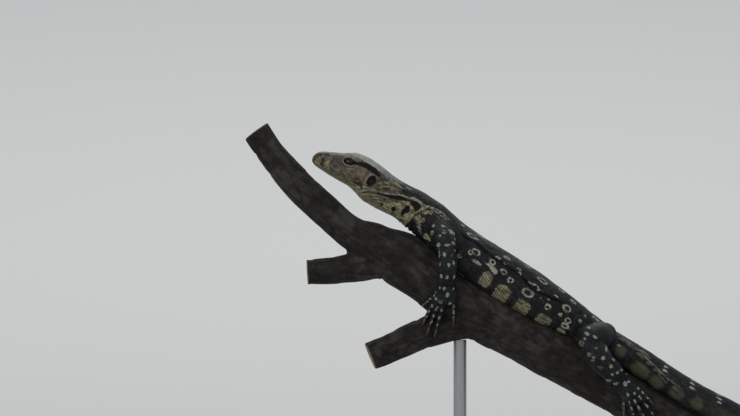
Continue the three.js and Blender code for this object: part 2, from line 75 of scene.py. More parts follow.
# Reads rows of [place, value, value, ...] by smooth steps that never overshoot
def smoothTable(rows):
    table = np.array(rows, float)
    keys, values = table[:, 0], table[:, 1:]
    steps = np.diff(values, axis=0) / np.diff(keys)[:, None]
    before, after = steps[:-1], steps[1:]
    agree = before * after > 0
    inner = np.where(agree, 2 * before * after / np.where(agree, before + after, 1), 0)
    slopes = np.vstack([steps[:1], inner, steps[-1:]])

    def read(place):
        at = np.clip(np.asarray(place, float), keys[0], keys[-1])
        i = np.clip(np.searchsorted(keys, at), 1, len(keys) - 1)
        span = (keys[i] - keys[i - 1])[..., None]
        t = (at - keys[i - 1])[..., None] / span
        ease = eased(t)
        rise = t * (1 - t) * span * (slopes[i - 1] * (1 - t) - slopes[i] * t)
        return np.moveaxis(values[i - 1] * (1 - ease) + values[i] * ease + rise, -1, 0)

    return read


# Reads one column of rows [place, value, ...] between their places
def follow(place, rows, column=1):
    path = np.array(rows, float)
    return np.interp(place, path[:, 0], path[:, column])


# Scrambled whole numbers: one for each cell of space, and the next one after each
def cellCode(cell, seed):
    x, y, z = cell.T
    return x * 73856093 ^ y * 19349663 ^ z * 83492791 ^ seed


def scramble(code, shift=0):
    return (code ^ (code >> 13)) * 1274126177 + shift & 0x7FFFFFFF


# Smooth random values between 0 and 1 over space, the same on every run and others for each seed
def noise(points, size, seed):
    p = points / size + 37.3 * seed
    cell = np.floor(p).astype(np.int64)
    t = eased(p - cell)
    total = 0
    for corner in np.ndindex(2, 2, 2):
        code = scramble(cellCode(cell + np.array(corner), (seed + 1) * 2654435761))
        share = np.prod(np.where(corner, t, 1 - t), axis=1)
        total = total + share * ((code >> 8) % 4096) / 4095
    return total


# A smooth line through points, in millimetres, with a frame carried along it without twist
class Line:
    def __init__(self, points, up, step=1.0):
        route = self.curve(points)
        travelled = np.concatenate([[0], np.cumsum(np.linalg.norm(np.diff(route, axis=0), axis=1))])
        self.length = travelled[-1]
        self.places = np.linspace(0, self.length, max(int(self.length / step), 12) + 1)
        self.centres = self.blend(self.places, travelled, route)
        self.alongs = unit(np.gradient(self.centres, axis=0))
        ups = [np.array(up, float)]
        for along in self.alongs:
            ups.append(unit(ups[-1] - along * (ups[-1] @ along)))
        self.ups = np.array(ups[1:])

    def curve(self, points):
        perSpan = 48
        p = np.array(points, float)
        p = np.vstack([2 * p[0] - p[1], p, 2 * p[-1] - p[-2]])
        route = []
        for a, b, c, d in zip(p, p[1:], p[2:], p[3:]):
            ab, bc, cd = [math.sqrt(np.linalg.norm(v)) for v in (b - a, c - b, d - c)]
            start = ((b - a) / ab - (c - a) / (ab + bc) + (c - b) / bc) * bc
            end = ((c - b) / bc - (d - b) / (bc + cd) + (d - c) / cd) * bc
            t = np.linspace(0, 1, perSpan, endpoint=False)[:, None]
            route.append(b + start * t + (3 * (c - b) - 2 * start - end) * t**2
                         + (2 * (b - c) + start + end) * t**3)
        return np.vstack([*route, p[-2:-1]])

    def blend(self, place, keys, rows):
        return np.stack([np.interp(place, keys, rows[:, c]) for c in range(3)], -1)

    # Centre, and the directions along, up and to the side, at distances along the line
    def at(self, place):
        along = unit(self.blend(place, self.places, self.alongs))
        up = self.blend(place, self.places, self.ups)
        up = unit(up - along * (up * along).sum(-1, keepdims=True))
        return self.blend(place, self.places, self.centres), along, up, np.cross(along, up)

    # How far along the line, to the side and up from it each point lies
    def measure(self, points):
        coarse, atOnce = 6, 40000
        near = np.empty(len(points), int)
        few = self.centres[::coarse]
        for i in range(0, len(points), atOnce):
            part = points[i:i + atOnce]
            away = -2 * part @ few.T + (few**2).sum(1)
            near[i:i + atOnce] = away.argmin(1) * coarse
        window = np.clip(near[:, None] + np.arange(-coarse, coarse + 1), 0, len(self.places) - 1)
        away = ((self.centres[window] - points[:, None]) ** 2).sum(-1)
        near = window[np.arange(len(points)), away.argmin(1)]
        place = self.places[near] + ((points - self.centres[near]) * self.alongs[near]).sum(1)
        centre, along, up, side = self.at(place)
        offset = points - centre
        return place, (offset * side).sum(1), (offset * up).sum(1)


# Driving sizes, the same as the solids have

# Points along the middle line of the body
spinePoints = [
    [-207.4, -6, 642],  # snout
    [-179.6, -4, 630.8],  # below the eye
    [-151.8, -2, 619.5],  # jaw corner
    [-130, 0, 606],
    [-108, 1, 593],  # throat
    [-90, 1, 579],
    [-73, 0, 561],  # shoulders
    [-54, -3, 546],
    [-20, -5, 524],
    [25, -4, 495],  # belly
    [70, -2, 466],  # hips
    [105, -8, 446],  # vent
    [170, -20, 405.5],
    [237, -20, 371],  # here the tail leaves the branch
    [270, -14, 344],
    [289, -6, 304],
    [298, 2, 230],
    [302, 1, 150],
    [316, -5, 76],
    [342, -8, 17],  # tip of the tail
]

# Distance from the snout, half width, height above and below the middle, squareness of both, lean
bodySizes = [
    [0, 1.2, 1.4, 1.2, 2, 2, 0],
    [0.8, 3.6, 3.9, 3.0, 2, 2, 0],
    [2.4, 5.6, 6.3, 4.4, 2.1, 2.1, 0.05],
    [5.5, 7.4, 9.0, 6.0, 2.2, 2.2, 0.1],  # nostrils
    [15, 9.7, 12.3, 8.2, 2.5, 2.3, 0.2],
    [25, 11.8, 15.3, 10.0, 2.7, 2.3, 0.26],
    [35, 14.2, 19.0, 11.4, 2.8, 2.3, 0.3],  # eyes
    [43, 16.4, 21.4, 12.6, 2.7, 2.3, 0.28],
    [52, 18.2, 21.3, 15.4, 2.5, 2.2, 0.24],  # temples
    [61, 18.6, 19.9, 18.8, 2.3, 2.1, 0.16],  # ears
    [70, 17.4, 18.5, 20.4, 2.1, 2.0, 0.08],
    [82, 16.6, 17.4, 19.6, 2, 2, 0],
    [100, 17.0, 17.2, 18.4, 2, 2, 0],
    [114, 19.2, 18.6, 19.6, 2, 2, 0],  # fold of the throat
    [124, 21.2, 19.2, 20.2, 2.1, 2.1, 0],
    [145, 25.0, 21.4, 21.6, 2.2, 2.3, 0],  # shoulders
    [175, 28.0, 23.4, 23.4, 2.2, 2.5, 0],
    [215, 30.6, 24.2, 25.0, 2.2, 2.7, 0],
    [255, 31.4, 24.4, 24.6, 2.2, 2.7, 0],  # belly
    [290, 28.4, 22.8, 22.0, 2.2, 2.5, 0],
    [320, 23.6, 20.2, 19.4, 2.1, 2.3, 0],  # hips
    [350, 19.0, 17.2, 17.0, 2.0, 2.2, 0],
    [371, 16.8, 15.2, 15.8, 1.95, 2.1, 0],  # vent
    [420, 14.6, 14.6, 15.0, 1.85, 2, 0],
    [470, 12.2, 13.8, 13.4, 1.75, 2, 0],
    [540, 9.4, 12.2, 11.0, 1.65, 2, 0],
    [620, 7.0, 10.2, 8.6, 1.6, 2, 0],
    [720, 4.6, 7.4, 5.9, 1.6, 2, 0],
    [810, 2.8, 4.8, 3.7, 1.6, 2, 0],
    [885, 1.5, 2.6, 1.9, 1.7, 2, 0],
    [935, 0.6, 1.0, 0.8, 2, 2, 0],  # tip of the tail
]

# Distance from the snout and height of the mouth; below, how strongly the lips show
mouthLine = [
    [0, -0.1], [0.8, -0.5], [2.4, -1], [10, -2.7], [22, -4], [34, -4.7], [45, -5.2], [70, -5.4],
]

mouthShare = [[0, 0.5], [2.4, 1], [45, 1], [53, 0], [70, 0]]

# The branch and its two side limbs: middle and radius
mainLimb = [
    [-264, 2, 669, 15], [-234, 1, 628, 15.8], [-201.5, 0, 595.5, 16.8], [-170, 0, 568.5, 18.2],
    [-143, 0, 554, 22], [-117, 0, 540, 28.6], [-90, 0, 523, 30], [-64, 0, 505, 30.4], [-35, 0, 487, 30.4],
    [-8, 0, 472, 29.8], [40, 0, 445, 28.4], [80, 1, 422, 27.4], [120, 2, 399, 27], [180, 2, 366, 27.2],
    [242, 0, 332, 28],
]

levelLimb = [
    [-213, -1, 528, 13.8], [-185, 0, 529.5, 14.4], [-150, 0, 536, 16.4], [-117, 0, 540, 19],
]

lowLimb = [
    [-150, -6, 444, 14.4], [-120, -3, 456.4, 15.4], [-99, -1, 465.5, 16.8], [-72, 0, 476, 19],
    [-40, 0, 482, 20],
]

# Bumps of the head: distance from the snout, height, length, spread, rise
headRelief = [
    [36, 17.5, 10, 3.2, 1.5],  # ridge over the eye
    [20, 4.5, 8, 4, -0.9],  # hollow before the eye
    [50, 3, 7, 7, 0.9],  # jaw muscle
    [70, 8, 5, 6, -0.8],  # hollow behind the temple
]

# Share of the length, half width, half thickness
armSizes = {
    "upper": [
        [0, 6, 6], [0.16, 12.5, 11], [0.45, 12.2, 10.8], [0.78, 10.4, 9.6], [0.93, 7.6, 7.2], [1, 2.5, 2.5],
    ],
    "lower": [
        [0, 3.4, 3.4], [0.1, 8.4, 7.6], [0.36, 9.6, 8.6], [0.72, 9.2, 7], [0.93, 9.4, 5.6], [1, 5.6, 3.4],
    ],
}

legSizes = {
    "upper": [
        [0, 8, 8], [0.15, 15.2, 14], [0.5, 15.8, 14.2], [0.8, 13.8, 12.4], [0.94, 9, 8.6], [1, 3, 3],
    ],
    "lower": [
        [0, 4, 4], [0.1, 11, 9.6], [0.36, 13, 10.8], [0.7, 11.4, 8.4], [0.92, 10.6, 6.4], [1, 5.6, 3.6],
    ],
}

handShape = {
    "sole": 20,
    "halfWidth": 11,
    "height": 4.6,
    "toeRadius": 2.9,
    "claw": 7.5,
    "toes": [  # across the sole, start along it, spread in degrees, length
        [-8, 9, -42, 14],
        [-9, 15.5, -21, 23],
        [-5, 16.5, -15, 30],
        [-0.8, 17, -9, 30],
        [8.6, 15, 6, 18],
    ],
}

footShape = {
    "sole": 25,
    "halfWidth": 11,
    "height": 5,
    "toeRadius": 3.1,
    "claw": 8,
    "toes": [  # across the sole, start along it, spread in degrees, length
        [-8, 15, -40, 14],
        [-6.5, 19, -24, 21],
        [-2.5, 20, -13, 28],
        [2.5, 20, -5, 34],
        [7.4, 14, -1, 24],
    ],
}

# Shoulder or hip, elbow or knee, wrist or ankle, and the way the foot points
limbPlaces = {
    "arm_left": [[-84, -10, 577], [-71.6, -41, 549], [-74, -38, 516], -96],
    "leg_left": [[86, -6, 465], [60, -42, 461], [96.5, -37, 423], -46],
    "arm_right": [[-84, 12, 577], [-74, 42, 558], [-106, 39, 549], -166],
    "leg_right": [[86, 2, 465], [66, 43, 457], [104, 37, 418], -38],
}

# Share of the length, width and thickness as shares of the foot's, the toe's or in mm for the claw
soleSizes = [[0, 0.5, 0.7], [0.25, 0.84, 1], [0.6, 1, 1], [0.88, 0.94, 0.84], [1, 0.6, 0.45]]
toeSizes = [[0, 0.8, 0.8], [0.3, 0.95, 0.95], [0.45, 0.86, 0.86], [0.62, 0.93, 0.92], [0.75, 0.78, 0.78],
            [0.88, 0.78, 0.78], [0.96, 0.6, 0.62], [1, 0.3, 0.3]]
clawSizes = [[0, 1.1, 1.3], [0.25, 1.15, 1.5], [0.55, 0.85, 1.2], [0.85, 0.4, 0.6], [1, 0.08, 0.1]]
gap = 0.3  # between the feet and the bark
leastReach = 4  # from the middle plane to the middle of a toe that has left the branch
barkSwell = 0.55  # slow unevenness of the branch

# Form of the body

spine = Line(spinePoints, [0, 0, 1])
bodyAt = smoothTable(bodySizes)
stretch = bodySizes[-1][0] / spine.length
mouthAt = smoothTable(mouthLine)


# A coordinate on a rounded square of some squareness
def rounded(value, squareness):
    return np.sign(value) * np.abs(value) ** (2 / squareness)


def relief(at, up):
    return sum(rise * hump(at, middle, length) * hump(up, high, spread)
               for middle, high, length, spread, rise in headRelief)


# A point on the skin at a distance from the snout; the angle is 0 at the left, a quarter turn on the back
def skinPoint(at, angle):
    at, angle = np.broadcast_arrays(np.asarray(at, float), np.asarray(angle, float))
    width, above, below, squareUp, squareDown, lean = bodyAt(at * stretch)
    centre, along, up, side = spine.at(at)
    onTop = np.sin(angle) >= 0
    height = np.where(onTop, above, below)
    square = np.where(onTop, squareUp, squareDown)
    rise = rounded(np.sin(angle), square)
    reach = rounded(np.cos(angle), square) * (1 - lean * np.maximum(0, rise))
    swell = relief(at, rise * height) * np.abs(reach)
    across, lift = reach * (width + swell), rise * (height + swell)
    return centre + side * across[..., None] + up * lift[..., None]


# Place along the body, angle round it, height over the middle line and distance outside the skin
def bodyChart(points):
    at, x, y = spine.measure(points)
    width, above, below, squareUp, squareDown, lean = bodyAt(at * stretch)
    height = np.where(y >= 0, above, below)
    square = np.where(y >= 0, squareUp, squareDown)
    wide = width * (1 - lean * np.clip(y / height, 0, 1))
    across, rise = np.abs(x / wide) ** (square / 2), np.abs(y / height) ** (square / 2)
    angle = np.arctan2(np.sign(y) * rise, np.sign(x) * across)
    away = ((across**2 + rise**2) ** (1 / square) - 1) * np.sqrt(width * height)
    return at, angle, y, away + np.maximum(0, np.maximum(-at, at - spine.length))


# The angle at which the skin has a given height over the middle line, on the left or the right
def angleAt(at, up, side=left):
    _, above, below, squareUp, squareDown, _ = bodyAt(np.asarray(at * stretch, float))
    share = (up / above) ** (squareUp / 2) if up >= 0 else -((-up / below) ** (squareDown / 2))
    angle = math.asin(min(max(share, -1), 1))
    return angle if side == left else math.pi - angle


# Origin and directions back, up and out of a feature on the side of the head
def faceFrame(feature, side):
    at, up, tilt = feature["at"], feature["up"], feature["tilt"]
    nudge = 0.05
    angle = angleAt(at, up, side)
    origin = skinPoint(at, angle)
    turning = skinPoint(at, angle + nudge) - skinPoint(at, angle - nudge)
    out = unit(np.cross(skinPoint(at + nudge, angle) - origin, turning))
    back = skinPoint(at + 1, angleAt(at + 1, up, side)) - origin
    back = unit(back - out * (back @ out))
    rise = np.cross(back, out) * side
    turn = math.cos(tilt), math.sin(tilt)
    return origin, np.stack([back * turn[0] - rise * turn[1], back * turn[1] + rise * turn[0], out])


# Form of the branch

class Branch:
    def __init__(self, points, seed):
        self.line = Line([p[:3] for p in points], [0, 0, 1])
        places = self.line.measure(np.array([p[:3] for p in points], float))[0]
        places[0] = 0
        self.radiusAt = smoothTable([[place, p[3]] for place, p in zip(places, points)])
        self.seed = seed

    def radius(self, at, angle):
        swell = np.sin(at / 17 + 2 * angle + self.seed) + 0.7 * np.sin(at / 9 - 3 * angle + 2 * self.seed)
        return self.radiusAt(at)[0] + barkSwell * swell

    def point(self, at, angle, grow=0.0):
        centre, along, up, side = self.line.at(at)
        radius = (self.radius(at, angle) + grow)[..., None]
        return centre + side * np.cos(angle)[..., None] * radius + up * np.sin(angle)[..., None] * radius

    # Place along the branch, angle round it, distance from its middle and distance outside its bark
    def measure(self, points):
        at, x, y = self.line.measure(points)
        angle, away = np.arctan2(y, x), np.hypot(x, y)
        beyond = np.maximum(0, np.maximum(-at, at - self.line.length))
        at = np.clip(at, 0, self.line.length)
        return at, angle, away, np.maximum(away - self.radius(at, angle), beyond)


branches = [Branch(mainLimb, 0.4), Branch(levelLimb, 2.1), Branch(lowLimb, 4.2)]


# How far out to the side the middle of a thing lies that rests on the branch at x and z
def perchReach(x, z, radius):
    reach = 0
    for points in (mainLimb, lowLimb, levelLimb):
        for (x0, _, z0, r0), (x1, _, z1, r1) in zip(points, points[1:]):
            dx, dz = x1 - x0, z1 - z0
            share = min(max(((x - x0) * dx + (z - z0) * dz) / (dx * dx + dz * dz), 0), 1)
            away = math.hypot(x - x0 - share * dx, z - z0 - share * dz)
            touching = r0 + share * (r1 - r0) + radius
            if away < touching:
                reach = max(reach, math.sqrt(touching**2 - away**2))
    return reach


# Form of the limbs

class Tube:
    def __init__(self, points, sizes, up):
        self.line = Line(points, up, 0.5)
        self.size = smoothTable(sizes)

    def point(self, share, angle):
        share, angle = np.broadcast_arrays(np.asarray(share, float), np.asarray(angle, float))
        centre, along, up, side = self.line.at(share * self.line.length)
        width, thick = self.size(share)
        return centre + side * (np.cos(angle) * width)[..., None] + up * (np.sin(angle) * thick)[..., None]

    # Share of the length, angle round the tube and distance outside it
    def measure(self, points):
        at, x, y = self.line.measure(points)
        share = np.clip(at / self.line.length, 0, 1)
        width, thick = self.size(share)
        away = (np.hypot(x / width, y / thick) - 1) * np.sqrt(width * thick)
        beyond = np.maximum(0, np.maximum(-at, at - self.line.length))
        return share, np.arctan2(y / thick, x / width), away + beyond


def turned(degrees):
    return math.cos(math.radians(degrees)), math.sin(math.radians(degrees))


# How a toe arches and a claw hooks down: millimetres and claw lengths past the toe, height over the bark
toeArch = {"taper": 0.35, "rise": 1.1, "tip": 2.4}
clawHook = [[-2.4, 0, 2.3], [1, 0, 2.9], [0, 0.6, 2.5], [0, 1, 0.5]]


# A foot that lies on the branch: its sole, its toes and its claws
class Foot:
    def __init__(self, ankle, heading, side, shape):
        self.ankle, self.side, self.shape = ankle, side, shape
        self.heading = turned(heading)
        up = [0, side, 0.2]
        w, h, r = shape["halfWidth"], shape["height"], shape["toeRadius"]
        soleRoute = [self.onPerch(*self.spot(along, 0), h) for along in (-4, 4, 12, shape["sole"])]
        soleRoute[0][1] = ankle[1]
        self.sole = Tube(soleRoute, [[p, w * wide, h * thick] for p, wide, thick in soleSizes], up)
        self.toes, self.claws = [], []
        for across, start, spread, length in shape["toes"]:
            tx, tz = turned(heading + spread)
            x0, z0 = self.spot(start, across)

            def along(distance, radius):
                return self.onPerch(x0 + tx * distance, z0 + tz * distance, radius)

            route = [along(share * length, r * (1 - toeArch["taper"] * share)
                           + toeArch["rise"] * math.sin(math.pi * share) ** 2)
                     for share in (0, 0.3, 0.6, 0.9)] + [along(length + 1, toeArch["tip"])]
            self.toes.append(Tube(route, [[p, r * wide, r * thick] for p, wide, thick in toeSizes], up))
            hook = [along(length + past + share * shape["claw"], height) for past, share, height in clawHook]
            self.claws.append(Tube(hook, clawSizes, up))

    def onPerch(self, x, z, radius):
        return [x, self.side * max(perchReach(x, z, radius + gap), leastReach), z]

    def spot(self, along, across):
        hx, hz = self.heading
        return self.ankle[0] + hx * along - hz * across, self.ankle[2] + hz * along + hx * across


class Limb:
    def __init__(self, name, side, place, sizes, shape):
        root, knee, ankle = [np.array(point, float) for point in place[:3]]
        bow = np.array([0, side, 0])
        inKnee = root + (knee - root) * 0.82
        self.name, self.side = name, side
        self.upper = Tube([root, (root + knee) / 2 + 4 * bow, knee], sizes["upper"], [0, 0, 1])
        self.lower = Tube([inKnee, (knee + ankle) / 2 + bow, ankle], sizes["lower"], [0.3, side, 0.3])
        self.foot = Foot(list(ankle), place[3], side, shape)

    def tubes(self):
        return [self.upper, self.lower, self.foot.sole, *self.foot.toes]


limbs = []
for key, place in limbPlaces.items():
    kind, sideName = key.split("_")
    side = left if sideName == "left" else right
    sizes, shape = (armSizes, handShape) if kind == "arm" else (legSizes, footShape)
    limbs.append(Limb(key, side, place, sizes, shape))


# Meshes


# Points and faces of a closed loft from a grid of rings
def closedGrid(rings):
    count, sides = rings.shape[:2]
    points = np.vstack([rings.reshape(-1, 3), rings[0].mean(0), rings[-1].mean(0)])
    i, j = np.meshgrid(np.arange(count - 1) * sides, np.arange(sides), indexing="ij")
    k = (j + 1) % sides
    walls = np.stack([i + j, i + sides + j, i + sides + k, i + k], -1).reshape(-1, 4)
    j = np.arange(sides)
    k = (j + 1) % sides
    end = (count - 1) * sides
    caps = [np.stack([np.full(sides, count * sides), j, k], 1),
            np.stack([np.full(sides, count * sides + 1), end + k, end + j], 1)]
    return points, [*walls.tolist(), *np.vstack(caps).tolist()]


def aroundTurn(sides):
    return np.linspace(0, 2 * math.pi, sides, endpoint=False)


def tubeGrid(tube, sides, step):
    shares = np.linspace(0, 1, max(int(tube.line.length / step), 6) + 1)
    return closedGrid(tube.point(shares[:, None], aroundTurn(sides)[None, :]))


# An object of several closed forms in one mesh
def meshOf(name, forms):
    points, faces, start = [], [], 0
    for formPoints, formFaces in forms:
        points.append(formPoints)
        faces.extend([[v + start for v in face] for face in formFaces])
        start += len(formPoints)
    mesh = bpy.data.meshes.new(name)
    mesh.from_pydata(np.vstack(points).tolist(), [], faces)
    piece = bpy.data.objects.new(name, mesh)
    bpy.context.scene.collection.objects.link(piece)
    return piece


# Melts the forms of a piece into one closed surface
def melt(piece, voxel):
    remesh = piece.modifiers.new("melt", "REMESH")
    remesh.mode = "VOXEL"
    remesh.voxel_size = voxel
    melted = piece.evaluated_get(bpy.context.evaluated_depsgraph_get())
    piece.data = bpy.data.meshes.new_from_object(melted)
    piece.modifiers.clear()
    return piece


def rowsOf(elements, name, width, kind=np.float32):
    rows = np.empty(len(elements) * width, kind)
    elements.foreach_get(name, rows)
    return rows.reshape(-1, width)


def pointsOf(mesh):
    return rowsOf(mesh.vertices, "co", 3).astype(float)


def normalsOf(mesh):
    return rowsOf(mesh.vertex_normals, "vector", 3).astype(float)


def edgesOf(mesh):
    return rowsOf(mesh.edges, "vertices", 2, np.int32)


def placePoints(mesh, points):
    mesh.vertices.foreach_set("co", points.astype(np.float32).ravel())
    mesh.update()


# Splits the edges inside a region, given by a test on points
def refine(mesh, inside):
    edges = edgesOf(mesh)
    chosen = inside(pointsOf(mesh))[edges].all(1)
    work = bmesh.new()
    work.from_mesh(mesh)
    work.edges.ensure_lookup_table()
    picked = [work.edges[i] for i in np.flatnonzero(chosen)]
    bmesh.ops.subdivide_edges(work, edges=picked, cuts=1, use_grid_fill=True)
    work.to_mesh(mesh)
    work.free()


# Pulls points towards the middle of their neighbours, each by its own weight
def soften(points, edges, weight, rounds):
    a, b = edges.T
    count = len(points)
    degree = np.maximum(np.bincount(a, minlength=count) + np.bincount(b, minlength=count), 1)
    weight = np.broadcast_to(weight, count)[:, None]
    for _ in range(rounds):
        total = np.stack([np.bincount(a, points[b, c], count) + np.bincount(b, points[a, c], count)
                          for c in range(3)], 1)
        points = points + weight * (total / degree[:, None] - points)
    return points


def giveNumbers(mesh, name, values):
    kind, field = ("FLOAT", "value") if values.ndim == 1 else ("FLOAT_VECTOR", "vector")
    made = mesh.attributes.new(name, kind, "POINT")
    made.data.foreach_set(field, values.astype(np.float32).ravel())


# Brings a piece to metres, gives it its material, carries it on the body and reports it
def finishPiece(piece, material):
    mesh = piece.data
    placePoints(mesh, pointsOf(mesh) * mm)
    mesh.materials.clear()
    mesh.materials.append(material)
    mesh.polygons.foreach_set("use_smooth", [True] * len(mesh.polygons))
    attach(piece, "root")
    print(piece.name, len(mesh.vertices), "points")


# Shader writing


# A shader socket that takes part in sums
class Wire:
    def __init__(self, socket):
        self.socket = socket

    def math(self, operation, first, second=None):
        node = self.socket.id_data.nodes.new("ShaderNodeMath")
        node.operation = operation
        for slot, value in zip(node.inputs, (first, second)):
            if isinstance(value, Wire):
                self.socket.id_data.links.new(value.socket, slot)
            elif value is not None:
                slot.default_value = value
        return Wire(node.outputs[0])

    def __add__(self, other):
        return self.math("ADD", self, other)

    def __sub__(self, other):
        return self.math("SUBTRACT", self, other)

    def __rsub__(self, other):
        return self.math("SUBTRACT", other, self)

    def __mul__(self, other):
        return self.math("MULTIPLY", self, other)

    def wave(self):
        return self.math("SINE", self)

    __radd__ = __add__
    __rmul__ = __mul__


# One material and the nodes it is painted with
class Paint:
    def __init__(self, name, surface, steps=None):
        self.steps = steps
        self.material = bpy.data.materials.new(name)
        self.material.use_nodes = True
        self.tree = self.material.node_tree
        self.surface = self.tree.nodes["Principled BSDF"]
        self.set(surface)

    def set(self, values):
        for name, value in values.items():
            self.plug(self.surface.inputs[name], value)

    def plug(self, socket, value):
        if isinstance(value, Wire):
            self.tree.links.new(value.socket, socket)
        elif hasattr(value, "__len__") and socket.type == "RGBA":
            socket.default_value = (*value[:3], 1)
        else:
            socket.default_value = value

    def node(self, kind, settings=None, inputs=None, output=0):
        node = self.tree.nodes.new("ShaderNode" + kind)
        for name, value in (settings or {}).items():
            setattr(node, name, value)
        for name, value in (inputs or {}).items():
            self.plug(node.inputs[name], value)
        return Wire(node.outputs[output])

    def number(self, name):
        return self.node("Attribute", {"attribute_name": name}, output="Fac")

    def vector(self, name):
        return self.node("Attribute", {"attribute_name": name}, output="Vector")

    # The sockets of this one go by number, as there are several of each name
    def mix(self, share, first, second, blend="MIX"):
        return self.node("Mix", {"data_type": "RGBA", "blend_type": blend, "clamp_factor": True},
                         {0: share, 6: first, 7: second}, 2)

    # Colours laid over one another, each by its share
    def layers(self, colour, *more):
        for share, upper in more:
            colour = self.mix(share, colour, upper)
        return colour

    # From 0 below one value to 1 above another
    def step(self, value, low, high):
        return self.node("MapRange", {"interpolation_type": "SMOOTHSTEP"},
                         {"Value": value, "From Min": low, "From Max": high})

    # The same between the two values that the table of the material gives by name
    def rise(self, name, value):
        return self.step(value, *self.steps[name])

    def place(self):
        return self.node("TexCoord", output="Object")

    def stretch(self, vector, scale):
        return self.node("Mapping", {"vector_type": "POINT"}, {"Vector": vector, "Scale": scale})

    def noise(self, vector, size, detail=3, rough=0.5):
        return self.node("TexNoise", None,
                         {"Vector": vector, "Scale": 1 / size, "Detail": detail, "Roughness": rough})

    # Small scales: how far it is to the edge of one, or a colour for each
    def scales(self, size, feature="DISTANCE_TO_EDGE", output=0):
        inputs = {"Vector": self.place(), "Scale": 1 / size}
        return self.node("TexVoronoi", {"feature": feature}, inputs, output)

    def bump(self, height, depth, strength=1):
        return self.node("Bump", None, {"Height": height, "Distance": depth, "Strength": strength})


# Skin

fleshNodes = ["head", "neck", "torso", "tail_base", "tail_middle", "tail_lower", "tail_tip"]
fleshNodes += [f"{part}_{sideName}" for sideName in ("left", "right")
               for part in ("upper_arm", "forearm", "hand", "thigh", "shank", "foot")]


skinShape = {
    "voxel": 0.7,  # the grain of the surface, which the head halves and the eyes halve again
    "aroundEye": 8.5,  # how far that goes
    "headEnd": 76,
    "headStep": 0.6,  # between the rings of the forms that are melted together
    "bodyStep": 1.3,
    "limbStep": 0.9,
    "sides": 140,
    "limbSides": 36,
    "grainRounds": 3,  # of smoothing all over, and more of them where forms join
    "joinRounds": 26,
    "join": [0.8, 6],  # how far out of the second nearest form that is in full, and where it ends
    "clear": 0.25,  # kept between the skin and the bark
    "plates": [2.3, 0.12],  # rows of scales on the belly and the tail: pitch, depth of the seams
    "lipPlates": [2.2, 0.14],
    "crest": [400, 520, 860, 908],  # where the crest of the tail rises and falls
    "crestHeight": 0.9,
    "waves": [11, 0.7],  # unevenness of the body, wide and fine: size, height
    "ripples": [3.1, 0.28],
    "wrinkles": [2.3, 0.4],
    "headScales": [1.7, 0.16],
    "foldWander": [7, 2.2],  # how folds wander: over how much length, how far
    "rightLean": 2.5,  # degrees that folds lie higher on the right side
}
# Features of the head: distance from the snout, height over the middle line, turn in radians, and sizes
eye = {"at": 35, "up": 9.8, "tilt": 0.12, "radius": 5.8, "sink": 3.5, "lid": 6.8}
# The opening between the lids: reach to the front and the back, half height, how far down it lies
slit = {"front": 5.5, "back": 6.3, "height": 3.65, "down": 0.8, "tilt": 0.12, "pit": 1.1}
# Ridges of the lids over and under the opening: rise, distance from its edge, width
overLid = [[0.25, 0.5, 0.4], [0.5, 2.4, 0.6], [-0.3, 1.4, 0.4], [-0.35, 3.7, 0.5], [0.3, 5.4, 0.9]]
underLid = [[0.5, 0.7, 0.5], [-0.4, 2.0, 0.5], [-0.35, 3.8, 0.5], [-0.25, 5.2, 0.45]]
ear = {"at": 62.2, "up": 0.4, "tilt": 0.2, "width": 4.5, "height": 6.1, "depth": 3.2, "wall": 1.5}
nostril = {"at": 6.2, "up": 6.0, "tilt": 0.5, "width": 1.7, "height": 1.15, "depth": 1.5, "wall": 0.7}

# Folds that run along the animal: depth, width, then place and angle in degrees on the left side
longFolds = [
    [0.8, 0.9, [[50, -60], [60, -29], [67, -22], [75, -17], [84, -10]]],
    [1.0, 1.2, [[57, -56], [65, -31], [71.5, -25], [80, -18], [87, -8], [92.5, 0], [98.5, 8], [105, 13],
                [112, 17]]],
    [0.7, 0.9, [[62, -62], [69, -41], [76, -31], [84, -22], [93, -12]]],
    [0.6, 0.9, [[68, -64], [73.5, -46], [80, -36], [88, -30]]],
    [1.7, 1.7, [[166, 31], [176, 28], [183, 28.5], [188, 30], [193, 28], [199, 24.5], [210, 23],
                [222, 21], [233.5, 22], [245, 16], [254, 13], [262, 10.5], [277, 16], [296, 28]]],
    [0.6, 1.2, [[290, 10], [310, 2], [334, -8]]],
    [0.5, 1, [[66, -4], [74, 0], [84, 8], [92, 14]]],
    [0.4, 1.1, [[70, 22], [82, 24], [94, 30], [108, 34], [124, 42]]],
    [0.5, 1.2, [[90, -66], [102, -56], [114, -48]]],
    [0.8, 1.5, [[352, 34], [368, 20], [380, 8], [392, -4], [406, -6], [440, -14], [480, -16]]],
]
# Folds that run round the animal: depth, width, place, how far back they lean below, angles of the ends
crossFolds = [
    [1.0, 1.4, 114, 7, -90, 12],
    [0.5, 1.0, 106, 5, -90, -20],
    [0.5, 1.2, 121, 6, -90, -8],
    [0.5, 1.1, 160, -4, -60, 30],
    [0.4, 1.0, 165, -4, -55, 20],
    [0.4, 1.1, 308, 5, -60, 16],
    [0.4, 1.1, 343, -6, -60, 24],
]


def ballGrid(centre, radius, rings=24, sides=40):
    pole = 0.02
    lean = np.linspace(pole, math.pi - pole, rings)[:, None]
    turn = aroundTurn(sides)[None, :]
    x, y, z = np.broadcast_arrays(np.sin(lean) * np.cos(turn), np.sin(lean) * np.sin(turn), np.cos(lean))
    return closedGrid(centre + radius * np.stack([x, -y, z], -1))


# How far a point lies outside an oval
def ovalDistance(x, y, width, height):
    return (np.hypot(x / width, y / height) - 1) * min(width, height)


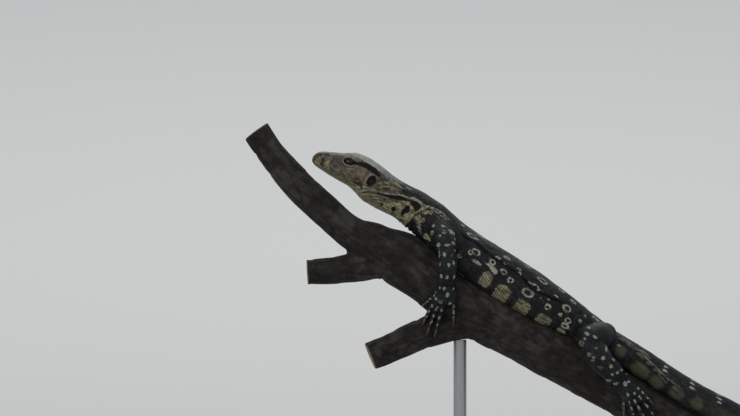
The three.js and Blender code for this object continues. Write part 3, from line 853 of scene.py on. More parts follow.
# The opening is rounder in front and pointed behind
def lidDistance(x, y):
    corner = np.where(x < 0, 1.5, 0.25)
    a, h = np.where(x < 0, slit["front"], slit["back"]) - corner, slit["height"] - corner
    radius = (a * a + h * h) / (2 * h)
    return np.maximum(np.hypot(x, y + radius - h), np.hypot(x, y - radius + h)) - radius - corner


# A groove between two soft ridges
def groove(distance, depth, width):
    return depth * (0.45 * hump(np.abs(distance), 2 * width, width) - hump(distance, 0, width))


# Angles as they are on the left side, also for the right
def mirrored(angle):
    wrapped = np.arctan2(np.sin(angle), np.cos(angle))
    flipped = np.sign(wrapped) * math.pi - wrapped
    return np.degrees(np.where(np.abs(wrapped) > math.pi / 2, flipped, wrapped))


# How sharp a row of plates is at each place, 0 in the middle of a plate and 1 at its edge
def plateEdge(at, pitch):
    return np.abs((at / pitch) % 1 - 0.5) * 2


farAway = 99.0


class Skin:
    def __init__(self):
        headEnd = skinShape["headEnd"]
        places = np.concatenate([np.arange(0, headEnd, skinShape["headStep"]),
                                 np.arange(headEnd, spine.length, skinShape["bodyStep"]), [spine.length]])
        forms = [closedGrid(skinPoint(places[:, None], aroundTurn(skinShape["sides"])[None, :]))]
        for limb in limbs:
            forms += [tubeGrid(tube, skinShape["limbSides"], skinShape["limbStep"]) for tube in limb.tubes()]
        for side in (left, right):
            origin, axes = faceFrame(eye, side)
            forms.append(ballGrid(origin - axes[2] * eye["sink"], eye["lid"]))
        self.piece = melt(meshOf("skin", forms), skinShape["voxel"])
        self.mesh = self.piece.data
        print("skin melted:", len(self.mesh.vertices), "points")
        self.refineHead()
        self.points = pointsOf(self.mesh)
        self.edges = edgesOf(self.mesh)
        self.settle()
        self.chart()
        self.openFace()
        self.carve()
        print("skin carved:", len(self.points), "points")

    def refineHead(self):
        low, high = [np.array(corner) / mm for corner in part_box("head")]
        refine(self.mesh, lambda p: ((p > low - 2) & (p < high + 1)).all(1))
        eyes = [faceFrame(eye, side)[0] for side in (left, right)]
        refine(self.mesh, lambda p: np.min([np.linalg.norm(p - e, axis=1) for e in eyes], axis=0)
               < skinShape["aroundEye"])

    # Smooths the grain of the surface, melts the limbs into the body and keeps clear of the bark
    def settle(self):
        count, reach = len(self.points), 24
        nearest = bodyChart(self.points)[3]
        second, limbAway = np.full((2, count), farAway)
        onFoot = np.zeros(count, bool)
        for limb in limbs:
            for tubes in ([limb.upper], [limb.lower], [limb.foot.sole], limb.foot.toes):
                away = np.full(count, farAway)
                for tube in tubes:
                    low, high = tube.line.centres.min(0) - reach, tube.line.centres.max(0) + reach
                    near = np.flatnonzero(((self.points > low) & (self.points < high)).all(1))
                    away[near] = np.minimum(away[near], tube.measure(self.points[near])[2])
                if tubes[0] not in (limb.upper, limb.lower):
                    onFoot |= away < 1
                second = np.minimum(second, np.maximum(nearest, away))
                nearest = np.minimum(nearest, away)
                limbAway = np.minimum(limbAway, away)
        self.points = soften(self.points, self.edges, 0.5, skinShape["grainRounds"])
        weight = 0.6 * (1 - smoothStep(*skinShape["join"], second)) * np.where(onFoot, 0.3, 1)
        self.points = soften(self.points, self.edges, weight, skinShape["joinRounds"])
        for _ in range(2):
            for branch in branches:
                at, angle, _, away = branch.measure(self.points)
                sunk = (away < skinShape["clear"]) & (at > 0.5) & (at < branch.line.length - 0.5)
                self.points[sunk] = branch.point(at[sunk], angle[sunk], skinShape["clear"])
        self.onLimb = smoothStep(-1.5, 2, bodyChart(self.points)[3] - limbAway)

    def chart(self):
        self.at, self.angle, self.up, _ = bodyChart(self.points)
        self.girth = bodyAt(self.at * stretch)[0]
        self.low = mirrored(self.angle)
        self.onRight = np.cos(self.angle) < 0
        self.onBody = 1 - self.onLimb

    # The opening between the lids, the ear and the nostril, on both sides
    def openFace(self):
        self.lidEdge, self.earEdge, self.nostrilEdge = [np.full(len(self.points), farAway) for _ in range(3)]
        self.lidHeight = np.zeros(len(self.points))
        for side in (left, right):
            near, (x, y, z), place = self.around(eye, side, 13)
            turn, lower = (math.cos(slit["tilt"]), math.sin(slit["tilt"])), y + slit["down"]
            edge = lidDistance(x * turn[0] + lower * turn[1], lower * turn[0] - x * turn[1])
            pit = np.sqrt(np.maximum(eye["radius"] ** 2 - x**2 - y**2, 1)) - eye["sink"] - slit["pit"]
            over, under = [sum(rise * hump(edge, middle, width) for rise, middle, width in ridges)
                           for ridges in (overLid, underLid)]
            rim = under + (over - under) * smoothStep(-1.2, 1.2, y)
            shut = smoothStep(-0.45, 0.2, edge)
            place(x, y, pit + (z - pit) * shut + rim * smoothStep(12, 8, np.hypot(x, y)))
            self.lidEdge[near], self.lidHeight[near] = edge, y

            for feature, edges in ((ear, self.earEdge), (nostril, self.nostrilEdge)):
                near, (x, y, z), place = self.around(feature, side, 11)
                wall, depth = feature["wall"], feature["depth"]
                edge = ovalDistance(x, y, feature["width"], feature["height"])
                rim = 0.16 * depth * hump(edge, 0.35 * wall, 0.45 * wall) * np.where(x < 0, 1, 0.5)
                place(x, y, z + rim - depth * (1 - smoothStep(-wall, 0.1, edge)))
                edges[near] = edge

    # The points near a feature of the face, seen in its own frame, and the way to put them back
    def around(self, feature, side, reach):
        origin, axes = faceFrame(feature, side)
        local = (self.points - origin) @ axes.T
        near = np.flatnonzero(np.linalg.norm(local, axis=1) < reach)

        def place(*moved):
            self.points[near] = origin + np.stack(moved, 1) @ axes

        return near, local[near].T, place

    # Moves the skin in and out along its own direction
    def carve(self):
        depth = self.foldDepth() + self.lipDepth()
        depth += self.plateDepth()
        depth += self.unevenDepth()
        placePoints(self.mesh, self.points)
        self.normals = normalsOf(self.mesh)
        self.points = self.points + self.normals * depth[:, None]
        placePoints(self.mesh, self.points)

    def foldDepth(self):
        at, low = self.at, self.low
        depth = np.zeros(len(self.points))
        size, reach = skinShape["foldWander"]
        wander = (noise(self.points, size, 3) - 0.5) * reach
        for deep, width, points in longFolds:
            start, end = points[0][0], points[-1][0]
            inside = smoothStep(start - 2, start + 8, at) * smoothStep(end + 2, end - 10, at)
            middle = follow(at, points) + skinShape["rightLean"] * self.onRight
            depth += groove(np.radians(low - middle) * self.girth + wander, deep, width) * inside
        for deep, width, start, leanBack, lowest, highest in crossFolds:
            inside = smoothStep(lowest - 12, lowest, low) * smoothStep(highest + 14, highest, low)
            depth += groove(at - start - leanBack * (-low / 90) + wander, deep, width) * inside
        return depth * self.onBody

    def lipDepth(self):
        lip = self.up - mouthAt(self.at)[0]
        share = smoothTable(mouthShare)(self.at)[0] * (self.at < 56)
        lips = 0.4 * hump(lip, 1.3, 0.8) + 0.35 * hump(lip, -1.3, 0.8) - 0.8 * hump(lip, 0, 0.34)
        pitch, deep = skinShape["lipPlates"]
        seams = smoothStep(0.75, 1, plateEdge(self.at, pitch)) * hump(np.abs(lip), 1.6, 0.9)
        return share * (lips - deep * seams)

    def plateDepth(self):
        at, low = self.at, self.low
        pitch, deep = skinShape["plates"]
        rows = plateEdge(at, pitch)
        onBelly = smoothStep(-26, -44, low) * smoothStep(92, 128, at) * self.onBody
        seams = deep * smoothStep(0.5, 1, rows) * np.maximum(onBelly, 0.8 * smoothStep(345, 380, at))
        rising, risen, falling, gone = skinShape["crest"]
        crest = hump(np.radians(90 - low) * self.girth, 0, 1.1)
        crest *= smoothStep(rising, risen, at) * smoothStep(gone, falling, at)
        return crest * (skinShape["crestHeight"] - 0.35 * rows) - seams

    # Small unevenness, wrinkles along the neck and the flank, and the scales of the head
    def unevenDepth(self):
        at = self.at
        sizes = [skinShape[name] for name in ("waves", "ripples", "wrinkles", "headScales")]
        waves, ripples, wrinkles, scales = sizes
        onHead = smoothStep(74, 64, at) * self.onBody
        depth = (noise(self.points, waves[0], 1) - 0.5) * waves[1] * (1 - onHead)
        depth += (noise(self.points, ripples[0], 2) - 0.5) * ripples[1]
        lie = np.stack([at * 0.4, np.radians(self.low) * self.girth, 9.0 * self.onRight], 1)
        loose = between(at, 66, 350, 10) * between(self.low, -62, 44, 16) * self.onBody
        self.wrinkle = smoothStep(0.56, 0.74, noise(lie, wrinkles[0], 17)) * loose
        depth -= wrinkles[1] * self.wrinkle
        fine = np.flatnonzero(onHead > 0)
        bare = smoothStep(0.1, 1.2, self.lidEdge) * smoothStep(-0.5, 0.8, self.earEdge)
        first, second = nearestCells(self.points[fine], scales[0], 5)
        domes = smoothStep(0, 0.35, second - first) - 0.6
        depth[fine] += scales[1] * domes * (onHead * bare)[fine]
        return depth


# Distances to the nearest and the next of scattered points, in sizes of their spacing
def nearestCells(points, size, seed):
    p = points / size
    base = np.floor(p).astype(np.int64)
    first, second = np.full((2, len(p)), farAway)
    for corner in np.ndindex(3, 3, 3):
        k = base + np.array(corner) - 1
        code, spread = cellCode(k, seed), []
        for axis in range(3):
            code = scramble(code, 12345)
            spread.append((code >> 8) % 1024 / 1023)
        away = np.linalg.norm(k + 0.1 + 0.8 * np.stack(spread, 1) - p, axis=1)
        second = np.minimum(second, np.maximum(first, away))
        first = np.minimum(first, away)
    return first, second


# Markings, by place along the body in mm and angle round it in degrees, as they are on the left side

# Pale rings and dots: place, angle, half length, half width, thickness of a ring or 0 for a filled mark
flankMarks = [
    [180, 43, 6.6, 3.4, 1.3], [183.5, 43, 2.4, 1.2, 0], [184, 68, 5.6, 1.5, 0], [181.5, -12, 2.2, 2, 1],
    [191.5, 10.5, 5, 3.5, 1.4], [188, 4, 3, 2.4, 1.1], [197, -3, 5.2, 1.7, 0], [364, 12, 1.8, 0.9, 0],
    [210, 11.5, 3.7, 2.7, 1.3], [209.5, 2, 3.8, 1.5, 0], [214.6, 0.5, 4.6, 2.4, 0],
    [217.2, -1, 2.5, 2.8, 0], [212.5, 28.5, 2.4, 1, 0], [219.5, 24, 2.6, 0.8, 0], [220, 46, 3.8, 2.5, 1.2],
    [224, 7, 3.5, 2.6, 1.2], [233.5, 0, 3.5, 2.9, 1.4], [235, 33, 2.2, 1.6, 0.9],
    [237.6, 23.5, 2.4, 1.9, 1], [241, 64, 4, 2.6, 1.2], [254, -1, 6.8, 4.3, 1.9], [257.6, 16.5, 5, 3, 1.3],
    [250, 18, 2.6, 1.1, 0], [260.5, 45, 6.4, 3.5, 1.3], [268, 4, 1.9, 1, 0], [275, 9, 1.7, 1.6, 0],
    [278.5, -3, 3.7, 3.3, 1.5], [280, 28, 2.8, 1.3, 0], [282, 62, 4.4, 2.8, 1.3], [292.5, -2, 2.1, 1.7, 0],
    [294.5, 18, 5.4, 4.2, 1.9], [297.5, 51, 4.2, 2.2, 1.2], [302, -4, 3.5, 2.6, 1.4],
    [303, -20, 4.8, 3.1, 1.7], [316, 36, 2.4, 1.3, 0], [314, 12, 2.2, 1.8, 0], [330, 26, 2.8, 2.2, 1.2],
    [327, 56, 4, 2.6, 1.2], [164, 58, 2.2, 1.6, 0],
]
# The same in cross rows over the back
backRows = {
    "places": [166, 190, 212, 233, 254, 275, 296, 317, 338],
    "angles": [80, 104],
    "size": [3.4, 2.2, 1.2],
}
# Pale dashes round the tail
tailBands = {
    "first": 412,
    "pitch": 31,  # at the first
    "left": 0.55,  # share of the pitch and the size at the tip
    "angles": [72, 48, 28, 8],  # the last one only on the thin part
    "thinFrom": 520,
    "endGap": 14,
    "size": [2.7, 1.25],
}
# Yellow panels low on the flanks: from, to, angle at the top and at the bottom
flankPanels = [
    [164, 175, -26, -70], [187, 196, -54, -76], [208.5, 219.2, -7, -46], [226.5, 241, -11, -68],
    [249.6, 264.8, -17, -84], [275, 288.8, -22, -76], [298, 308, -34, -76], [320, 331, -30, -76],
]
# Blots of the head and the neck, by tone: place, angle, half length, half width, strength
blotTones = {
    "dark": [
        [3.4, 27, 2, 1.7, 0.6], [4.6, 44, 2.2, 1.5, 0.6], [10, 6, 1.9, 2.4, 0.7],
        [10.2, -10, 1.7, 2.8, 0.8], [10.6, -25, 1.3, 1.6, 0.55], [11.6, 48, 2.4, 1.7, 0.6],
        [22.5, 17, 4.4, 4.6, 0.34], [19.5, 31, 2.4, 2.2, 0.3], [28.6, 32, 1.6, 2, 0.35],
        [32.5, -4, 2.4, 0.7, 0.5], [20, -15, 1.3, 3.4, 0.3], [21.5, -41, 1.5, 2.4, 0.35],
        [48, -11, 2.4, 1.9, 0.6], [48.5, -29, 2.6, 2.3, 0.8], [53, -23, 3, 2, 0.8],
        [45, -19, 1.8, 1.3, 0.35], [56, -32, 2.4, 1.6, 0.75], [42, 2, 2.6, 0.7, 0.35],
        [31, -20, 1.3, 1, 0.3], [35.5, -27, 2.2, 1, 0.35], [64, 38, 2.4, 1.4, 0.5], [71, 20, 3, 1.9, 0.65],
        [73.5, 31, 2.8, 2, 0.6], [78.5, 3, 3.6, 1.9, 0.8], [81.5, 47, 3, 1.5, 0.55],
        [92, 50, 3.2, 1.8, 0.75], [88, 20, 2, 1.6, 0.5], [86.5, 8, 2.8, 1.1, 0.6], [76, 44, 2.2, 1.2, 0.5],
        [89, 32, 2, 1.2, 0.5], [76, 15, 2.6, 1.4, 0.55], [92, 22, 3, 1.4, 0.6], [67, 8, 1.8, 2.4, 0.5],
        [112.5, 9.5, 6.4, 3.8, 1], [115.6, 2.5, 3.4, 3.6, 1], [108.6, 12, 3.6, 2.5, 1],
        [107.9, -18, 3.1, 4.4, 1], [106.1, -32, 2.4, 4.7, 1], [95.5, -40, 2.7, 2.7, 1],
        [83, -46, 1.7, 2.2, 0.95], [95, -11, 2.1, 1.5, 0.95], [83.5, -26, 2, 1.3, 0.9],
        [121, -38, 2.4, 3.2, 0.95], [120.5, -48, 2.2, 2.2, 0.9], [122.4, -16, 1.2, 1.1, 0.8],
        [125.6, -9.5, 1.2, 1.1, 0.8], [123, -3, 1.2, 1.4, 0.8], [98, -58, 2, 2.2, 0.6],
        [110, -62, 3, 2.4, 0.7],
    ],
    "light": [
        [6, -33, 3.2, 2.8, 0.75], [8.4, -44, 3.2, 2.2, 0.7], [15, 0, 1.8, 2.6, 0.6],
        [16.6, -21, 2.7, 2.4, 0.8], [19.6, -33, 2.4, 1.6, 0.5], [26, -40, 3.4, 2, 0.6],
        [43, 12, 2.4, 2, 0.28], [46.5, 4, 2.8, 2, 0.3], [33.6, 37, 3, 1.2, 0.5], [17.5, 53, 3.2, 1.3, 0.6],
        [21.5, 55, 3.4, 1.2, 0.6], [30, 49, 3.4, 1.5, 0.55], [35, 51, 3.6, 1.5, 0.6],
        [38, -16, 3, 1.2, 0.25], [31, -46, 3, 1.4, 0.4], [71, 7, 3.4, 0.8, 0.45], [75, 22, 3, 0.8, 0.5],
        [80.5, 31, 3.4, 1, 0.75], [85.5, 35, 2.8, 0.9, 0.7], [91, 38, 3, 1, 0.6], [83, 15, 1.5, 2, 0.7],
        [80, 10, 3, 0.8, 0.45], [90, 24, 2.4, 1.4, 0.5], [92, 13, 2, 1, 0.5], [126, 8, 1.5, 3, 0.8],
        [128.4, 14, 2.6, 1.5, 0.8], [70, -4, 3, 0.8, 0.5],
    ],
    "pink": [
        [5.6, 8, 2.2, 2, 0.45], [28, -15, 3.4, 2.4, 0.6], [35, -9, 2.6, 0.9, 0.5],
        [40.5, -24, 3.8, 2.4, 0.55], [50.5, 13, 3, 2.4, 0.45], [52, 3, 2.2, 3, 0.5],
        [38.5, 37, 2.2, 1.5, 0.8], [86, 26, 3, 1.6, 0.4], [62, -42, 4, 1.6, 0.5], [70, -31, 5, 1.4, 0.55],
        [79, -22, 5, 1.2, 0.5], [67, -52, 5, 1.2, 0.4], [89, 1, 3, 1, 0.4],
    ],
    "grey": [
        [69, 62, 3.6, 1.8, 0.7], [76.5, 58, 3.4, 1.8, 0.7], [74.5, 42, 2.4, 1.2, 0.5],
        [84, 47, 2.6, 1.4, 0.6], [98.5, 56, 3.4, 1.5, 0.6], [37, 6, 3, 1.4, 0.4],
        [126.6, -29, 3.2, 1.5, 0.8], [130.5, -37, 3.2, 1.6, 0.7], [134, -45, 2.6, 1.4, 0.5],
    ],
    "brown": [
        [120.8, -8, 2.4, 5, 0.8], [121.6, -24, 2.6, 4, 0.8], [124, 3, 2.2, 3, 0.7], [70, -24, 5, 1.2, 0.6],
        [77, -19, 5, 1.2, 0.6], [66, -34, 6, 1.5, 0.6], [75, -33, 6, 1.4, 0.5],
    ],
}
# Pale lines: place, angle and half width along each
paleLines = [
    [[44.5, -66, 0.4], [57.5, -25, 0.9], [67.5, -20, 0.9], [71.5, -18, 1], [76, -13, 0.7], [81, -7, 0.7],
     [85, -3, 0.7], [89.5, 4, 1.2], [93, 9, 1.3], [96.5, 13.5, 1.2], [101, 15.5, 0.9], [104, 19, 1],
     [107, 23.5, 1.7], [111, 25, 1.8], [116, 24.5, 1.1], [119, 24, 1]],
    [[118, 24, 0.8], [123, 26, 0.7], [128, 27, 0.55], [135.5, 26, 0.5], [139, 27, 0.6], [145, 30, 0.5]],
    [[122, 28, 0.6], [130, 35, 0.6], [134.5, 37.5, 0.6], [139, 38, 0.7], [147, 39, 0.5]],
    [[124, 29, 0.5], [131, 31, 0.5], [138, 32.5, 0.5], [148, 34.5, 0.5]],
    [[128, 21, 0.4], [135.5, 17, 0.5], [139, 18, 0.4]],
    [[110, -3, 0.7], [113.5, -10, 0.9], [117, -19, 0.8]],
    [[116, -13, 0.9], [118.6, -2, 1], [121, 8, 0.9], [123, 13, 0.8]],
    [[58, -31, 0.5], [66, -27, 0.5], [74, -25, 0.5], [80, -20, 0.4]],
    [[62, -44, 0.4], [70, -38, 0.5], [78, -32, 0.4]],
    [[380, 45, 0.4], [386, 49, 0.8], [390, 48, 0.7], [396, 40, 0.5]],
]
# The same in cream
creamLines = [
    [[66, -4, 0.5], [70.5, 12, 0.6], [75.5, 25, 0.6], [83, 37, 0.5], [88.5, 42, 0.6], [94.5, 45, 0.5]],
    [[69, -7, 0.5], [75, 6, 0.6], [80.5, 18, 0.6], [88.5, 20, 0.5]],
]
# Dark lines: the stripe behind the eye, the shade under the pale line and painted shade along the fold of
# the flank
darkLines = [
    [[38.5, 22, 1], [43, 23.5, 1.7], [47.5, 28, 2.3], [51.5, 30, 2.8], [57, 31, 3.2], [62.5, 30.5, 3],
     [67.5, 29, 1.6]],
    [[72, -22, 0.5], [78, -16, 1.1], [86, -9.5, 1.7], [90.5, -4.5, 2.4], [94.5, 0, 2.5], [98, 4, 2.2],
     [103, 9, 1.5], [107, 13, 1.5]],
    [[170, 31, 0.8], [176, 28, 1.5], [183, 28.5, 1.5], [188, 30, 1.6], [193, 28, 1.6], [199, 24.5, 1.5],
     [210, 23, 1.3], [222, 21, 1.2], [233.5, 22, 1.1], [245, 16, 1.5], [254, 13, 1.5], [262, 10.5, 1],
     [277, 16, 0.7], [292, 26, 0.5]],
]
# Brown ridge that crosses the root of the tail, with pale edges painted as highlights, and the dark line
# under it
tailRidge = [
    [350, 51], [361, 49], [371, 42], [379, 37], [386, 32], [396, 21], [409, 9], [421, -3], [436, -8],
]
# Olive blots on the sides of the tail
tailBlots = [
    [368, -4, 5, 5.5, 1], [394, -30, 10, 8, 1], [414, -36, 7, 8, 1], [436, -30, 7, 6.5, 1],
    [458, -26, 6.5, 6, 1],
]
# The pale line along the neck, which parts the brown and black above it from the cream below: place, angle
neckLine = [
    [44, -66], [57, -25], [67.5, -20], [76, -13], [85, -3], [93, 9], [101, 16], [107, 23], [119, 25],
    [147, 36],
]
# Where the cream of the throat ends and where the crease of the neck lies: angle, place
throatEnd = [[-40, 117.5], [-16, 117.8], [-4, 119], [5, 122.5], [14, 124]]
creasePath = [[-40, 118.5], [-19, 118.7], [2, 121], [18, 124.5]]
bellyBars = {"first": 213, "pitch": 22.6, "uneven": 0.9}

# Blots as they show from the side: x, z, half length, half height, lean in degrees
shoulderMarks = [
    [-102, 582.2, 5.4, 2.4, -8], [-98.6, 580, 3.4, 2.8, 0], [-94, 563.6, 2.6, 3.6, 24],
    [-91.4, 561.6, 1.4, 2.2, 20],
]
armStreaks = [
    [-77.4, 573.9, 2.4, 0.8, -22], [-69.6, 568.6, 3, 1.5, -35], [-66.4, 566.4, 2.6, 1.3, -40],
    [-64.8, 560.3, 2.4, 1.1, -52], [-67.5, 557.4, 2.3, 1.1, -52], [-73.2, 555.4, 2.9, 1.3, 12],
    [-82.1, 555.6, 1.7, 2, 0], [-81.6, 547, 0.7, 3.4, 0], [-76.2, 545.8, 1.5, 1.9, 0],
    [-65.6, 550, 1, 1.2, 0], [-80.3, 564.8, 1.3, 1.2, 0],
]
legStreaks = [
    [55, 469.4, 3, 0.8, 70], [58.6, 474, 3.2, 0.8, 35], [64.6, 467.8, 2.4, 2.1, 0],
    [66.7, 473.7, 1.9, 1, -20], [72.6, 464.5, 2.5, 1, -35], [62.7, 462.9, 1.4, 1.4, 0],
    [83.9, 452.9, 1.2, 2.5, 0], [80.5, 443.7, 2.2, 2, 0], [90.8, 442, 1.8, 1.1, -15],
    [88.1, 435.5, 2, 1.8, 0], [99.2, 431.5, 1.7, 1.4, 0], [94.6, 429.2, 1.8, 1.4, 45],
    [104.1, 429.3, 2.2, 1, -65], [89.5, 427.6, 1.2, 1, 0], [85.2, 421, 2.6, 1.3, 10], [93, 418, 3, 1.4, 12],
    [102.6, 417.9, 2.2, 2.1, 0], [106.4, 420, 1.1, 1.4, 0],
]
# Dimmer, yellowish ones
dimStreaks = [
    [58.6, 457.4, 3.3, 3.1, 20], [73.1, 453.7, 2.2, 1.2, 0], [66.5, 446.8, 2.8, 2.3, -25],
    [71.5, 445, 2.6, 2, 0], [70, 442, 2.2, 1.2, 10], [77.4, 434.8, 2.8, 2.5, 0],
    [-77.6, 573.9, 2.4, 1.2, -22], [95.8, 452.5, 3.2, 2.8, 0],
]

# Dots of the arm and the leg: share of the length, angle in degrees, radius, thickness
armMarks = {
    "high": [
        [0.37, 44, 1.9, 0], [0.51, 20, 2.5, 1.1], [0.63, 80, 2.4, 1.1], [0.5, 170, 1.8, 0],
        [0.7, 250, 2, 0], [0.45, 300, 2, 0],
    ],
    "upper": [
        [0.37, 44, 2, 0], [0.51, 20, 2.6, 1.1], [0.63, 80, 2.4, 1.1], [0.66, 50, 1.4, 0],
        [0.62, 118, 2.3, 0], [0.77, 148, 1.7, 0], [0.9, 108, 1.8, 0], [0.9, 68, 1.9, 0], [0.8, 18, 2, 0],
        [0.5, 170, 1.8, 0], [0.7, 250, 2, 0], [0.45, 300, 2, 0], [0.5, 96, 1.3, 0], [0.78, 84, 1.2, 0],
    ],
    "lower": [
        [0.25, 52, 1.5, 0], [0.48, 16, 2, 0], [0.52, 80, 1.9, 0], [0.46, 112, 1.5, 0], [0.76, 32, 1.7, 0],
        [0.77, 76, 1.9, 0], [0.76, 124, 1.9, 0], [0.36, 170, 1.6, 0], [0.6, 200, 1.7, 0],
        [0.66, 340, 1.7, 0], [0.3, 100, 1, 0],
    ],
    "sole": [
        [0.3, 46, 1.6, 0], [0.3, 78, 1.7, 0], [0.26, 140, 1.4, 0], [0.52, 18, 1.8, 0], [0.57, 100, 2.1, 0],
        [0.78, 28, 1.8, 0], [0.86, 68, 2.2, 1], [0.88, 122, 1.7, 0],
    ],
}
legMarks = {
    "upper": [
        [0.82, 96, 2.4, 1.1], [0.83, 122, 1.7, 0], [0.94, 118, 1.7, 0], [0.86, 160, 1.6, 0],
        [0.97, 148, 2, 0], [0.62, 60, 2, 0], [0.6, 100, 2.2, 1.1], [0.6, 140, 1.9, 0], [0.36, 80, 2, 0],
        [0.4, 120, 2, 0],
    ],
    "lower": [
        [0.1, 30, 2.6, 0], [0.28, 84, 1.6, 0], [0.38, 138, 1.4, 0], [0.35, 46, 2.8, 0], [0.49, 88, 1.8, 0],
        [0.62, 128, 1.5, 0], [0.57, 42, 2.8, 1.3], [0.69, 90, 2, 0], [0.9, 122, 1.7, 0], [0.86, 92, 1.5, 0],
        [0.8, 64, 1.7, 0], [0.84, 20, 1.9, 0], [0.3, 190, 1.8, 0], [0.6, 200, 1.8, 0], [0.5, 330, 1.8, 0],
    ],
    "sole": [
        [0.1, 40, 2, 0], [0.2, 130, 1.6, 0], [0.46, 84, 2.2, 0], [0.46, 114, 1.8, 0], [0.5, 40, 2, 0],
        [0.76, 60, 2, 0], [0.86, 132, 1.7, 0], [0.9, 90, 1.7, 0],
    ],
}
toeMarks = [[0.24, 1.25], [0.52, 1.3], [0.8, 1.15]]  # share of the toe, radius

farOutside = -3.0
# How uneven the edges of the marks are, and how far those of the right side are shifted
jitter = {"wide": 0.9, "fine": 0.54, "rightShift": 2.5}


# A field of distances inside drawn marks, positive within them
class Marks:
    def __init__(self, skin):
        self.points = skin.points
        self.field = np.full(len(self.points), farOutside)
        self.uneven = (noise(self.points, 2.6, 9) - 0.5) * jitter["wide"]
        self.uneven += (noise(self.points, 1.2, 10) - 0.5) * jitter["fine"]
        self.full = 0.65 + 0.75 * noise(self.points, 3.4, 11)

    # An oval round a point, longer along one direction
    def oval(self, centre, along, halfLong, halfWide, thick=0):
        near = np.flatnonzero((np.abs(self.points - centre) < max(halfLong, halfWide) + 3).all(1))
        offset = self.points[near] - centre
        length = offset @ along
        width = np.sqrt(np.maximum((offset**2).sum(1) - length**2, 0))
        inside = self.uneven[near] - ovalDistance(length, width, halfLong, halfWide)
        if thick:
            inside = thick / 2 * self.full[near] - np.abs(inside - thick / 2)
        self.field[near] = np.maximum(self.field[near], inside)

    def onBody(self, place, angle, halfLong, halfWide, thick=0):
        for side in (left, right):
            at = place + (jitter["rightShift"] * math.sin(place * 1.7 + angle) if side == right else 0)
            turn = math.radians(angle if side == left else 180 - angle)
            self.oval(skinPoint(at, turn), spine.at(at)[1], halfLong, halfWide, thick)

    def onLimb(self, limb, marks):
        parts = {"upper": limb.upper, "lower": limb.lower, "sole": limb.foot.sole}
        for part, tube in parts.items():
            if limb.name == "arm_left" and part == "upper":
                part = "high"
            for share, angle, radius, thick in marks[part]:
                if limb.name == "leg_left" and angle < 180 and (part != "sole" or share < 0.6):
                    continue
                turn = math.radians(angle if limb.side == left else 180 - angle)
                along = tube.line.at(share * tube.line.length)[1]
                self.oval(tube.point(share, turn), along, radius, radius * 0.8, thick * 0.9)
        for toe in limb.foot.toes:
            for share, radius in toeMarks:
                along = toe.line.at(share * toe.line.length)[1]
                self.oval(toe.point(share, math.pi / 2), along, radius * 1.7, radius * 0.8)

    # Marks placed by what shows from the side: they keep their shape when seen from there
    def fromSide(self, skin, rows, sides):
        total = np.full(len(self.points), farOutside)
        for side in sides:
            outward = np.flatnonzero(skin.normals[:, 1] * side > 0.1)
            for x, z, halfLong, halfHigh, lean in rows:
                c, s = turned(lean)
                dx, dz = self.points[outward, 0] - x, self.points[outward, 2] - z
                away = ovalDistance(dx * c + dz * s, dz * c - dx * s, halfLong, halfHigh)
                total[outward] = np.maximum(total[outward], self.uneven[outward] - away)
        return total


def paleMarks(skin):
    marks = Marks(skin)
    for row in flankMarks:
        marks.onBody(*row)
    for i, place in enumerate(backRows["places"]):
        for angle in backRows["angles"][:1 + i % 2]:
            marks.onBody(place + 3 * math.sin(5 * i + angle), angle, *backRows["size"])
    first = place = tailBands["first"]
    halfLong, halfWide = tailBands["size"]
    while place < spine.length - tailBands["endGap"]:
        thin = 1 - (1 - tailBands["left"]) * (place - first) / (spine.length - first)
        for shift, angle in enumerate(tailBands["angles"]):
            if shift < 3 or place > tailBands["thinFrom"]:
                marks.onBody(place + 1.5 * shift, angle, halfLong * thin, halfWide * thin)
        place += tailBands["pitch"] * thin
    for limb in limbs:
        marks.onLimb(limb, armMarks if limb.name.startswith("arm") else legMarks)
    return marks


# How far the skin lies from a line through points of place and angle
def lineAway(skin, rows, ends=3):
    away = np.radians(skin.low - follow(skin.at, rows)) * skin.girth
    return away, between(skin.at, rows[0][0], rows[-1][0], ends) * skin.onBody


# A band with its own half width along the line
def band(skin, rows, soft=0.5):
    away, within = lineAway(skin, rows, 1.5)
    wide = follow(skin.at, rows, 2) * (0.7 + 0.6 * noise(skin.points, 2.4, 16))
    return smoothStep(soft, -soft, np.abs(away) - wide) * within


def stripe(skin, points, width):
    away, within = lineAway(skin, points)
    return hump(away, 0, width) * within


# Soft blots by place and angle, the strongest where they meet
def blots(skin, rows, edge=0.8):
    total = np.zeros(len(skin.at))
    uneven = (noise(skin.points, 2.2, 12) - 0.5) * 1.4
    for place, angle, halfLong, halfWide, strength in rows:
        near = np.flatnonzero(np.abs(skin.at - place) < halfLong + 4)
        across = np.radians(skin.low[near] - angle) * skin.girth[near]
        inside = uneven[near] - ovalDistance(skin.at[near] - place, across, halfLong, halfWide)
        total[near] = np.maximum(total[near], strength * smoothStep(-edge, edge, inside))
    return total * skin.onBody


# Distances inside the panels, which are boxes with round corners
def panels(skin):
    field = np.full(len(skin.at), farOutside)
    uneven = (noise(skin.points, 2.8, 14) - 0.5) * 1.6
    corner = 4.2
    for start, end, top, bottom in flankPanels:
        middle, halfLong = (start + end) / 2, (end - start) / 2
        near = np.flatnonzero(np.abs(skin.at - middle) < halfLong + 4)
        girth = skin.girth[near]
        along = np.abs(skin.at[near] - middle) - halfLong + corner
        across = np.abs(np.radians(skin.low[near] - (top + bottom) / 2) * girth)
        across += corner - np.radians(top - bottom) * girth / 2
        outside = np.hypot(np.maximum(along, 0), np.maximum(across, 0))
        outside += np.minimum(np.maximum(along, across), 0)
        field[near] = np.maximum(field[near], corner - outside + uneven[near])
    return np.where(skin.onBody > 0.5, field, farOutside)


